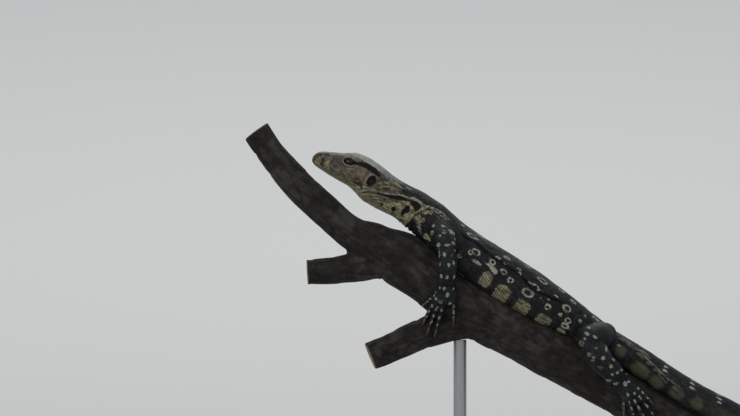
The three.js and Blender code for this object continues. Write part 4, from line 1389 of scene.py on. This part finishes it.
# From, to and softness of the zones along the body
zones = {
    "brownHead": [-9, 66, 6],
    # the top of the crown, where a grey sheen is painted
    "crownSheen": [33, 92, 7],
    "greySnout": [-4, 30, 3],
    "jaw": [3, 60, 6],
    "belly": [128, 345, 10],
}


def within(skin, zone):
    return between(skin.at, *zones[zone])


# Pale marks, none where a dark blot lies
def markField(skin, pale, darkBlots):
    fromSide = pale.fromSide(skin, armStreaks + legStreaks, [left])
    mark = np.maximum(pale.field, np.where(skin.onLimb > 0.5, fromSide, farOutside))
    uneven = 0.45 + 0.9 * noise(skin.points, 2.8, 23)
    for rows in paleLines:
        away, inside = lineAway(skin, rows, 1.5)
        inLine = follow(skin.at, rows, 2) * uneven - np.abs(away)
        mark = np.maximum(mark, np.where(inside > 0.4, inLine, farOutside))
    return np.where(darkBlots > 0.6, np.minimum(mark, 0.2 - darkBlots), mark)


# Cream of the throat, the belly and the jaw, the light blots and the yellowish ones of the limbs
def creamField(skin, pale, above, light, patch):
    beside = skin.low - follow(skin.at, neckLine)
    throat = between(skin.at, 50, follow(skin.low, throatEnd), 1.2) * (1 - above) * smoothStep(8, -4, beside)
    turns = 2 * math.pi * (skin.at - bellyBars["first"]) / bellyBars["pitch"]
    bars = smoothStep(0.2, 0.6, np.cos(turns + bellyBars["uneven"] * (patch - 0.5)))
    uneven = skin.low + 12 * (noise(skin.points, 12, 21) - 0.5)
    belly = smoothStep(-66, -78, uneven) * within(skin, "belly")
    jaw = between(skin.up - mouthAt(skin.at)[0], -14, -2.2, 1.2) * within(skin, "jaw")
    jaw *= 0.42 + 0.5 * smoothStep(-52, -70, skin.low)
    lines = [0.75 * band(skin, rows) for rows in creamLines]
    cream = np.maximum.reduce([throat * 0.9, belly * bars, jaw, light, *lines]) * skin.onBody
    shoulder = smoothStep(-0.5, 0.4, pale.fromSide(skin, shoulderMarks, [left, right]))
    dim = 0.5 * smoothStep(-0.5, 0.5, pale.fromSide(skin, dimStreaks, [left]))
    return np.maximum.reduce([cream, shoulder, dim * (0.6 + 0.6 * patch) * skin.onLimb])


# Brown ridge of the tail with two pale edges painted as highlights, broken in places
def ridgeField(skin):
    unevenTone = noise(skin.points, 3.0, 24)
    away, inside = lineAway(skin, tailRidge)
    away += 1.2 * (unevenTone - 0.5)
    fill = 0.28 * smoothStep(2.8, 2.0, np.abs(away)) * smoothStep(0.3, 0.6, unevenTone)
    upper = hump(away, 2.0, 0.6) * (0.4 + 0.6 * smoothStep(0.35, 0.5, unevenTone))
    lower = hump(away, -2.0, 0.5) * smoothStep(0.4, 0.55, unevenTone)
    return np.maximum.reduce([fill, upper, lower]) * inside


# Dark lines and blots, and painted shade in the grooves and the crease of the neck, in the wrinkles, in the
# pits of ear, nostril and lids and in the folds round the eye
def darkMarksAndShade(skin, darkBlots, upperLid):
    # Dark blots, painted shade in the wrinkles, and the dark lines, one of them painted shade along the fold
    # of the flank
    parts = [darkBlots, 0.5 * skin.wrinkle]
    parts += [band(skin, rows, 0.7) for rows in darkLines]
    # Painted shade in the folds of the neck, of which the second shows the most
    for k, (deep, width, rows) in enumerate(longFolds[:4]):
        strong = 1 if k == 1 else 0
        parts.append((0.6 + 0.2 * strong) * stripe(skin, rows, 1.0 + 0.4 * strong))
    # Painted shade in the crease of the neck
    crease = hump(skin.at - follow(skin.low, creasePath), 0, 1.0)
    parts.append(0.85 * crease * between(skin.low, -50, 17, 4))
    parts.append(0.7 * stripe(skin, [[place + 3, angle - 14] for place, angle in tailRidge], 1.7))
    lid = skin.lidEdge
    return np.maximum.reduce([
        np.maximum.reduce(parts) * skin.onBody,
        # Painted shade in the ear, in the nostril and in the pit between the lids and the eye
        0.9 * smoothStep(0.3, -0.5, skin.earEdge),
        smoothStep(0.2, -0.4, skin.nostrilEdge),
        smoothStep(0.3, -0.1, lid),
        # Painted shade in the folds of the lids: the shadow of the brow over the eye, and two folds under it
        0.4 * hump(lid, 1.3, 0.7) * upperLid,
        0.5 * hump(lid, 2.1, 0.6) * (1 - upperLid),
        0.4 * hump(lid, 4.4, 0.6) * (1 - upperLid),
    ])


def paintSkin(skin):
    at, body = skin.at, skin.onBody
    low = skin.low + 12 * (noise(skin.points, 12, 21) - 0.5)
    patch = noise(skin.points, 6, 22)
    tones = {name: blots(skin, rows) for name, rows in blotTones.items()}
    pale = paleMarks(skin)
    above = smoothStep(-2, 3, skin.low - follow(at, neckLine))
    # Brown of the head and the neck above the pale line; grey of the snout and of grey blots, and a grey
    # painted sheen on the top of the crown
    neck = between(at, 66, 93.5 + 3 * (patch - 0.5), 1.6) * above * smoothStep(56, 46, low)
    tan = np.maximum(within(skin, "brownHead") + neck, tones["brown"])
    crown = within(skin, "crownSheen") * smoothStep(38, 44, low) * (1 - 0.5 * smoothStep(60, 74, at))
    crown += 0.6 * within(skin, "greySnout") * smoothStep(44, 62, low)
    crown = np.maximum(crown, tones["grey"])
    # Olive blots of the tail, and a dull shade low on the rest of it
    below = 0.45 * between(low, -64, 6, 12) * smoothStep(440, 490, at) * smoothStep(905, 560, at)
    olive = np.maximum(blots(skin, tailBlots, 2.5), below * body)
    # Pinkish front rim of the ear and the pale edges of the lids
    upperLid = smoothStep(-1, 1.5, skin.lidHeight)
    origin, axes = faceFrame(ear, left)
    back, rise, _ = axes @ (skin.points - origin).T
    lids = 0.85 * hump(skin.lidEdge, 0.6, 0.5) * (1 - 0.5 * upperLid)
    lids += 0.8 * hump(skin.lidEdge, 2.6, 0.7) * upperLid
    earTop = 0.6 * hump(skin.earEdge, 0.5, 0.4) * smoothStep(0, 3, rise) * body
    earFront = 0.9 * between(skin.earEdge, 0.1, 2.6, 0.5) * smoothStep(-1.2, -3.6, back)
    shares = {
        "tan": tan * body,
        "crown": crown * body,
        # Dark marks, and painted shade in folds, wrinkles and pits
        "dark": darkMarksAndShade(skin, tones["dark"], upperLid),
        "blush": np.maximum(earFront, tones["pink"]),
        "cream": creamField(skin, pale, above, tones["light"], patch),
        "olive": olive,
        # Pale edges of the lids and the top of the ear, and the tail ridge with its edges painted as
        # highlights
        "ridge": np.maximum.reduce([ridgeField(skin), lids, earTop]),
    }
    for name, values in shares.items():
        giveNumbers(skin.mesh, name, np.clip(values, 0, 1))
    giveNumbers(skin.mesh, "mark", markField(skin, pale, tones["dark"]))
    giveNumbers(skin.mesh, "panel", panels(skin))
    giveNumbers(skin.mesh, "limb", skin.onLimb)
    giveNumbers(skin.mesh, "lie", np.stack([at, np.radians(skin.low) * skin.girth, np.zeros(len(at))], 1))
    print("skin painted")


skinColours = {
    "black": (0.0042, 0.0046, 0.0052),
    "slate": (0.0095, 0.0110, 0.0135),
    "ash": (0.034, 0.036, 0.032),
    "brown": (0.106, 0.087, 0.060),
    "brownDark": (0.050, 0.043, 0.033),
    # grey of the snout and of blots, and of the painted sheen on the top of the crown
    "crown": (0.240, 0.243, 0.222),
    "cream": (0.152, 0.136, 0.074),
    "creamPale": (0.250, 0.235, 0.145),
    "creamDark": (0.080, 0.066, 0.040),
    "panel": (0.165, 0.155, 0.088),
    "panelPale": (0.240, 0.235, 0.150),
    "panelRust": (0.092, 0.074, 0.042),
    "mark": (0.245, 0.245, 0.195),
    "markLimb": (0.195, 0.205, 0.180),
    "olive": (0.050, 0.048, 0.030),
    # pale rims, and the painted highlights on the edges of the tail ridge
    "ridge": (0.200, 0.190, 0.150),
    "blush": (0.155, 0.112, 0.086),
    # of dark marks, and of the painted shade in folds, wrinkles and pits
    "dark": (0.0050, 0.0042, 0.0040),
    "scale": 1.35,  # widths of the small scales of the body and of the head, mm
    "plate": 1.8,
    "lines": 2.2,  # pitch of the fine lines across the flanks, mm
}
# Where each colour starts to show and where it covers, in the noise or the field that it follows
skinSteps = {
    "lines": [-0.85, -0.1],
    "slate": [0.35, 0.75],
    "ash": [0.5, 0.85],
    "brown": [0.32, 0.68],
    "tan": [0.25, 0.75],
    "crown": [0.05, 0.5],
    "cream": [0.1, 0.9],
    "creamPale": [0.35, 0.65],
    "creamDark": [0.5, 0.75],
    "panel": [-0.3, 0.5],
    "panelPale": [0.3, 0.7],
    "panelRust": [0.5, 0.68],
    "roundPanel": [-3.2, -1],
    "mark": [-0.3, 0.4],
    "awayFromSeam": [0.01, 0.14],
    "bodyDome": [0, 0.35],
    "headDome": [0, 0.3],
}


def skinMaterial():
    c = skinColours
    paint = Paint("scaled skin", {"Roughness": 0.5, "Specular IOR Level": 0.13}, skinSteps)
    here = paint.place()
    edge, plates = paint.scales(c["scale"] * mm), paint.scales(c["plate"] * mm)
    tint = paint.node("SeparateColor", None, {"Color": paint.scales(c["scale"] * mm, "F1", "Color")}) - 0.5
    broad, mottle, fine = [paint.noise(here, size * mm) for size in (14, 4.5, 1.6)]
    roughFine, roughMottle = fine - 0.5, mottle - 0.5
    tan, cream, dark, panel = [paint.number(name) for name in ("tan", "cream", "dark", "panel")]
    along = paint.node("SeparateXYZ", None, {"Vector": paint.vector("lie")})
    lines = paint.rise("lines", (along * (2 * math.pi / c["lines"]) + mottle * 1.6).wave())

    brown = paint.mix(paint.rise("brown", mottle + roughFine * 0.7 + tint * 0.3), c["brownDark"], c["brown"])
    creamTone = paint.layers(
        c["cream"],
        (paint.rise("creamPale", mottle + tint * 0.2), c["creamPale"]),
        (paint.rise("creamDark", fine + (broad - 0.5) * 0.8) * 0.5, c["creamDark"]))
    panelTone = paint.layers(
        c["panel"],
        (paint.rise("panelPale", mottle + tint * 0.5), c["panelPale"]),
        (paint.rise("panelRust", broad + roughFine * 0.5) * 0.5, c["panelRust"]))
    markTone = paint.mix(paint.number("limb"), c["mark"], c["markLimb"])
    colour = paint.layers(
        c["black"],
        (paint.rise("slate", broad + roughMottle * 0.6 + tint * 0.15), c["slate"]),
        (paint.rise("ash", mottle + roughFine * 0.4 + tint * 0.2) * 0.5, c["ash"]),
        (paint.number("olive") * (fine + 0.5), c["olive"]),
        (paint.rise("tan", tan + roughMottle * 0.8 * (1 - tan) + tint * 0.1), brown),
        # Grey of the snout and of blots, and a painted sheen on the top of the crown
        (paint.number("crown") * paint.rise("crown", mottle + roughFine * 0.6), c["crown"]),
        (paint.rise("cream", cream + tint * 0.3), creamTone),
        (paint.number("blush") * (fine * 0.6 + 0.6), c["blush"]),
        # Panels of the flanks with fine dark lines across
        (paint.rise("roundPanel", panel) * lines * 0.3, c["ash"]),
        (paint.rise("panel", panel + tint * 0.9) * (lines * 0.65 + 0.3), panelTone),
        # Pale rims and the tail ridge with its painted highlights, rings and dots, and over all the dark
        # marks and the painted shade of folds and pits
        (paint.number("ridge") * (fine * 0.8 + 0.5), c["ridge"]),
        (paint.rise("mark", paint.number("mark") + tint * 0.7) * 0.95, markTone),
        (dark, c["dark"]))
    # Colour a little darker towards the seams between the small scales, and each scale of its own tone
    unevenTone = paint.rise("awayFromSeam", edge) * 0.35 + 0.68 + tint * (0.3 - tan * 0.14)
    grey = paint.node("CombineColor", None, {"Red": unevenTone, "Green": unevenTone, "Blue": unevenTone})
    colour = paint.mix(1, colour, grey, "MULTIPLY")
    domes = paint.rise("bodyDome", edge) * (1 - tan) + paint.rise("headDome", plates) * tan * 0.4
    paint.set({"Base Color": colour, "Roughness": 0.48 + (1 - unevenTone) * 0.3 + dark * 0.3,
               "Normal": paint.bump(domes + fine * 0.3, 0.16 * mm, 0.8)})
    return paint.material


skin = Skin()
paintSkin(skin)
finishPiece(skin.piece, skinMaterial())
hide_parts(*fleshNodes)

# Eyes

# Angles from the middle of the eye, in radians, and colours
eyeLook = {
    "pupil": 0.36,
    "ring": 0.41,
    "iris": 0.9,
    "dark": (0.003, 0.0025, 0.002),
    "gold": (0.018, 0.011, 0.005),
    "brown": (0.005, 0.0036, 0.0025),
    "edge": (0.004, 0.003, 0.0025),
}


def eyeMaterial():
    paint = Paint("eye", {"Roughness": 0.1, "Specular IOR Level": 0.18})
    off = paint.number("offAxis")
    streaks = paint.noise(paint.stretch(paint.place(), (400, 400, 400)), 0.5)
    pupil, ring, iris = eyeLook["pupil"], eyeLook["ring"], eyeLook["iris"]
    paint.set({"Base Color": paint.layers(
        eyeLook["dark"],
        (paint.step(off, pupil - 0.02, pupil + 0.02), eyeLook["gold"]),
        (paint.step(off + streaks * 0.12, ring, ring + 0.16), eyeLook["brown"]),
        (paint.step(off, iris - 0.1, iris), eyeLook["edge"]))})
    return paint.material


eyeFinish = eyeMaterial()
for side, sideName in ((left, "left"), (right, "right")):
    origin, axes = faceFrame(eye, side)
    centre = origin - axes[2] * eye["sink"]
    ball = meshOf(f"eyeball_{sideName}", [ballGrid(centre, eye["radius"], 48, 72)])
    gaze = unit(axes[2] - 0.1 * axes[0])
    offAxis = np.arccos(np.clip(unit(pointsOf(ball.data) - centre) @ gaze, -1, 1))
    giveNumbers(ball.data, "offAxis", offAxis)
    finishPiece(ball, eyeFinish)
    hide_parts(f"eye_{sideName}")


# Claws

clawLook = {"horn": (0.012, 0.011, 0.010), "pale": (0.06, 0.052, 0.042)}


def clawMaterial():
    paint = Paint("claw horn", {"Roughness": 0.35})
    grain = paint.noise(paint.stretch(paint.place(), (3000, 1200, 600)), 1)
    paint.set({"Base Color": paint.mix(paint.step(grain, 0.35, 0.8), clawLook["horn"], clawLook["pale"]),
               "Normal": paint.bump(grain, 0.05 * mm)})
    return paint.material


clawFinish = clawMaterial()
for limb in limbs:
    kind, sideName = limb.name.split("_")
    claws = meshOf(f"claws_{'hand' if kind == 'arm' else 'foot'}_{sideName}",
                   [tubeGrid(claw, 16, 0.35) for claw in limb.foot.claws])
    finishPiece(claws, clawFinish)


# Perch

perchShape = {
    "voxel": 1.1,  # the grain of the surface
    "step": 1.5,  # between the rings of the forms that are melted together
    "sides": 150,
    "join": [9, 1],  # how near a second limb the joins start to be softened, and where they are in full
    "pull": 0.16,  # how far space is drawn together along the branch, so that bark and grain run along it
    "furrow": [3.2, 0.8],  # size and depth
    "crack": [5.5, 0.7],
    "swell": [16, 1.2],
    "cut": [0.6, 1.2],  # how far the sawn faces reach along the branch, and end inside its bark
    "sawn": 0.1,
}
barkColours = {
    "dark": (0.009, 0.0078, 0.0072),
    "mid": (0.023, 0.0198, 0.0176),
    "grey": (0.044, 0.040, 0.035),
    "moss": (0.022, 0.025, 0.016),
    "wood": (0.26, 0.175, 0.105),
    "woodDark": (0.14, 0.09, 0.055),
    "ring": 2.6,  # yearly rings, in waves of the sine for each millimetre
}
barkSteps = {"mid": [0.32, 0.62], "grey": [0.48, 0.8], "moss": [0.55, 0.8], "ring": [-0.4, 0.9]}


def makePerch():
    forms = []
    for branch in branches:
        places = np.linspace(0, branch.line.length, int(branch.line.length / perchShape["step"]))
        grid = np.broadcast_arrays(places[:, None], aroundTurn(perchShape["sides"])[None, :])
        forms.append(closedGrid(branch.point(*grid)))
    perch = melt(meshOf("perch", forms), perchShape["voxel"])
    mesh = perch.data
    points, edges = pointsOf(mesh), edgesOf(mesh)
    charts = [branch.measure(points) for branch in branches]
    away = np.stack([chart[3] for chart in charts])
    join = smoothStep(*perchShape["join"], np.sort(away, axis=0)[1])
    points = soften(points, edges, 0.5, 2)
    points = soften(points, edges, 0.6 * join, 30)

    own = away.argmin(0)
    at, angle, distance = [np.choose(own, [chart[k] for chart in charts]) for k in range(3)]
    ends = np.array([branch.line.length for branch in branches])[own]
    radius = np.choose(own, [branch.radius(*chart[:2]) for branch, chart in zip(branches, charts)])
    # Every branch is sawn off where it starts, and the main one also where it ends
    reach, rim = perchShape["cut"]
    cutFace = ((at < reach) | (at > ends - reach) & (own == 0)) & (distance < radius - rim)
    lengthways = at * perchShape["pull"] + 40 * own
    spread = np.stack([np.cos(angle) * distance, np.sin(angle) * distance, lengthways], 1)
    furrows, cracks, swells = [perchShape[name] for name in ("furrow", "crack", "swell")]
    streaks = noise(spread, furrows[0], 31)
    ridges = noise(spread * np.array([1, 1, 1.6]), cracks[0], 32)
    crack = 1 - smoothStep(0.02, 0.16, np.abs(ridges - 0.5))
    depth = furrows[1] * (1 - streaks) * 0.6 + cracks[1] * crack
    depth += swells[1] * noise(points, swells[0], 33)
    depth = np.where(cutFace, perchShape["sawn"], depth)
    placePoints(mesh, points)
    placePoints(mesh, points - normalsOf(mesh) * depth[:, None])
    giveNumbers(mesh, "grain", spread * mm)
    giveNumbers(mesh, "cut", cutFace.astype(float))
    giveNumbers(mesh, "crack", crack)
    return perch


def barkMaterial():
    c = barkColours
    paint = Paint("bark", {"Roughness": 0.8, "Specular IOR Level": 0.12}, barkSteps)
    grain = paint.vector("grain")
    streak = paint.noise(grain, 1.6 * mm, 6, 0.68)
    broad = paint.noise(paint.place(), 30 * mm, 4)
    flecks = paint.noise(paint.place(), 1.4 * mm, 3, 0.65)
    patches = paint.noise(paint.place(), 10 * mm, 6, 0.66)
    uneven = (patches - 0.5) * 0.7 + (streak - 0.5) * 0.35 + (flecks - 0.5) * 0.2
    bark = paint.layers(
        c["dark"],
        (paint.rise("mid", patches + (streak - 0.5) * 0.5), c["mid"]),
        (paint.rise("grey", broad + uneven) * 0.85, c["grey"]),
        (paint.rise("moss", broad) * 0.3, c["moss"]),
        (paint.number("crack") * 0.6, c["dark"]))
    across = paint.node("VectorMath", {"operation": "LENGTH"}, {0: paint.stretch(grain, (1, 1, 0))}, "Value")
    rings = (across * (c["ring"] / mm) + paint.noise(paint.place(), 12 * mm) * 5).wave()
    wood = paint.mix(paint.rise("ring", rings), c["wood"], c["woodDark"])
    cutFace = paint.number("cut")
    paint.set({"Base Color": paint.mix(cutFace, bark, wood),
               "Normal": paint.bump((streak + flecks * 0.7) * (1 - cutFace * 0.8), 0.8 * mm)})
    return paint.material


perch = makePerch()
finishPiece(perch, barkMaterial())
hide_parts("perch_limb", "perch_trunk", "perch_side_level", "perch_side_low")

# Stand

baseShape = {"length": 470, "width": 250, "height": 18, "corner": 30, "bevel": 2.4}
baseColours = {"pale": (0.34, 0.215, 0.115), "dark": (0.20, 0.115, 0.058)}
rodShape = {"radius": 6.5, "collar": 12, "collarHeight": 8, "sides": 56}
rodPlaces = {"stand_rod_front": -60, "stand_rod_back": 150}
rodColours = {"steel": (0.36, 0.36, 0.37)}


# A board with round corners and rounded edges
def makeBase():
    bevel, height, corner = baseShape["bevel"], baseShape["height"], baseShape["corner"]
    middles, outwards = [], []
    for quarter, (sx, sy) in enumerate([(1, 1), (-1, 1), (-1, -1), (1, -1)]):
        angle = np.linspace(0, math.pi / 2, 13) + quarter * math.pi / 2
        middle = [sx * (baseShape["length"] / 2 - corner), sy * (baseShape["width"] / 2 - corner)]
        middles += [middle] * len(angle)
        outwards += [*zip(np.cos(angle), np.sin(angle))]
    middles, outwards = np.array(middles), np.array(outwards)
    lean = np.linspace(0, math.pi / 2, 6)
    profile = [(bevel * (1 - math.sin(a)), bevel * (1 - math.cos(a))) for a in lean]
    profile += [(bevel * (1 - math.cos(a)), height - bevel * (1 - math.sin(a))) for a in lean]
    rings = [np.column_stack([middles + outwards * (corner - inset), np.full(len(middles), z)])
             for inset, z in profile]
    return meshOf("base", [closedGrid(np.array(rings))])


def baseMaterial():
    paint = Paint("oiled wood", {"Roughness": 0.38, "Coat Weight": 0.15, "Coat Roughness": 0.2})
    here = paint.stretch(paint.place(), (0.12, 1, 1))
    figure = paint.noise(here, 22 * mm, 4)
    lines = (figure * 70).wave()
    pores = paint.noise(paint.stretch(paint.place(), (0.05, 1, 1)), 0.7 * mm, 2)
    share = paint.step(lines, -0.9, 1) * 0.6 + pores * 0.3
    colour = paint.mix(share, baseColours["pale"], baseColours["dark"])
    paint.set({"Base Color": colour, "Normal": paint.bump(pores, 0.06 * mm, 0.4)})
    return paint.material


def makeRod(name, x):
    low, high = [np.array(corner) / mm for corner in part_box(name)]
    r, c, z, top = rodShape["radius"], rodShape["collar"], low[2], high[2]
    onCollar = z + rodShape["collarHeight"]
    profile = [(c - 0.6, z), (c, z + 0.6), (c, onCollar - 2), (c - 0.6, onCollar - 0.9), (c - 2, onCollar),
               (r + 1, onCollar), (r, onCollar + 0.6), (r, top - 0.2), (r - 0.3, top)]
    angle = aroundTurn(rodShape["sides"])
    rings = [np.stack([x + radius * np.cos(angle), radius * np.sin(angle), height + 0 * angle], 1)
             for radius, height in profile]
    return meshOf(name + "_round", [closedGrid(np.array(rings))])


def rodMaterial():
    paint = Paint("brushed steel", {"Metallic": 1.0, "Base Color": rodColours["steel"]})
    brush = paint.noise(paint.stretch(paint.place(), (1, 1, 40)), 3 * mm, 3)
    paint.set({"Roughness": 0.28 + brush * 0.2, "Normal": paint.bump(brush, 0.03 * mm, 0.5)})
    return paint.material


def keepCrisp(piece):
    crisp = piece.modifiers.new("crisp edges", "EDGE_SPLIT")
    crisp.split_angle = math.radians(40)


board = makeBase()
finishPiece(board, baseMaterial())
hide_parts("stand_base")
keepCrisp(board)
steel = rodMaterial()
for name, x in rodPlaces.items():
    rod = makeRod(name, x)
    finishPiece(rod, steel)
    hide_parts(name)
    keepCrisp(rod)


# Floor, light and camera

studio = {
    "floor": (0.70, 0.70, 0.685),
    "flat": 6,  # how far the floor is flat, how far it goes, and how high it rises there, in metres
    "reach": 40,
    "rise": 9,
    "sky": (0.90, 0.93, 0.96),
    "skyStrength": 0.66,
    "lights": [  # place, aim, size and strength in watts; the last one is for the background
        [(-1.5, -2.0, 2.9), (0, 0, 0.5), 1.6, 46],
        [(1.7, -1.3, 2.1), (0, 0, 0.5), 1.6, 10],
        [(0.1, 1.5, 3.0), (0, 0, 0.5), 2.0, 20],
        [(0, 9.5, 7.0), (0, 11, 0.6), 5.0, 130],
    ],
    "camera": (-0.150, -4.0, 0.592),  # level, looking along +Y
    "pictureWidth": 0.740,  # metres across the picture at the animal
}


# Flat round the stand and rising gently far away, so that no horizon shows
def makeFloor():
    sides, count = 96, 80
    turn, points = aroundTurn(sides), []
    for reach in np.linspace(0.5, studio["reach"], count):
        rise = studio["rise"] * smoothStep(studio["flat"], studio["reach"], reach)
        points += np.stack([reach * np.cos(turn), reach * np.sin(turn), rise + 0 * turn], 1).tolist()
    faces = [[*range(sides)]]
    for start in range(0, (count - 1) * sides, sides):
        for k in range(sides):
            nextOne = (k + 1) % sides
            faces.append([start + sides + k, start + sides + nextOne, start + nextOne, start + k])
    mesh = bpy.data.meshes.new("floor")
    mesh.from_pydata(points, [], faces)
    mesh.shade_smooth()
    floor = bpy.data.objects.new("floor", mesh)
    bpy.context.scene.collection.objects.link(floor)
    mesh.materials.append(Paint("floor", {"Roughness": 0.95, "Base Color": studio["floor"]}).material)


def makeLight():
    world = bpy.data.worlds.new("sky")
    world.use_nodes = True
    sky = world.node_tree.nodes["Background"]
    sky.inputs["Color"].default_value = (*studio["sky"], 1)
    sky.inputs["Strength"].default_value = studio["skyStrength"]
    bpy.context.scene.world = world
    for i, (place, aim, size, watts) in enumerate(studio["lights"]):
        light = bpy.data.lights.new(f"soft light {i + 1}", "AREA")
        light.size, light.energy = size, watts
        lamp = bpy.data.objects.new(light.name, light)
        lamp.location = place
        lamp.rotation_euler = (Vector(aim) - Vector(place)).to_track_quat("-Z", "Y").to_euler()
        bpy.context.scene.collection.objects.link(lamp)


def makeCamera():
    data = bpy.data.cameras.new("camera")
    camera = bpy.data.objects.new("camera", data)
    camera.location = studio["camera"]
    camera.rotation_euler = (math.pi / 2, 0, 0)
    data.lens = data.sensor_width * -studio["camera"][1] / studio["pictureWidth"]
    bpy.context.scene.collection.objects.link(camera)
    bpy.context.scene.camera = camera


makeFloor()
makeLight()
makeCamera()
print("floor, light and camera placed")
bpy.context.scene.view_settings.view_transform = "Standard"
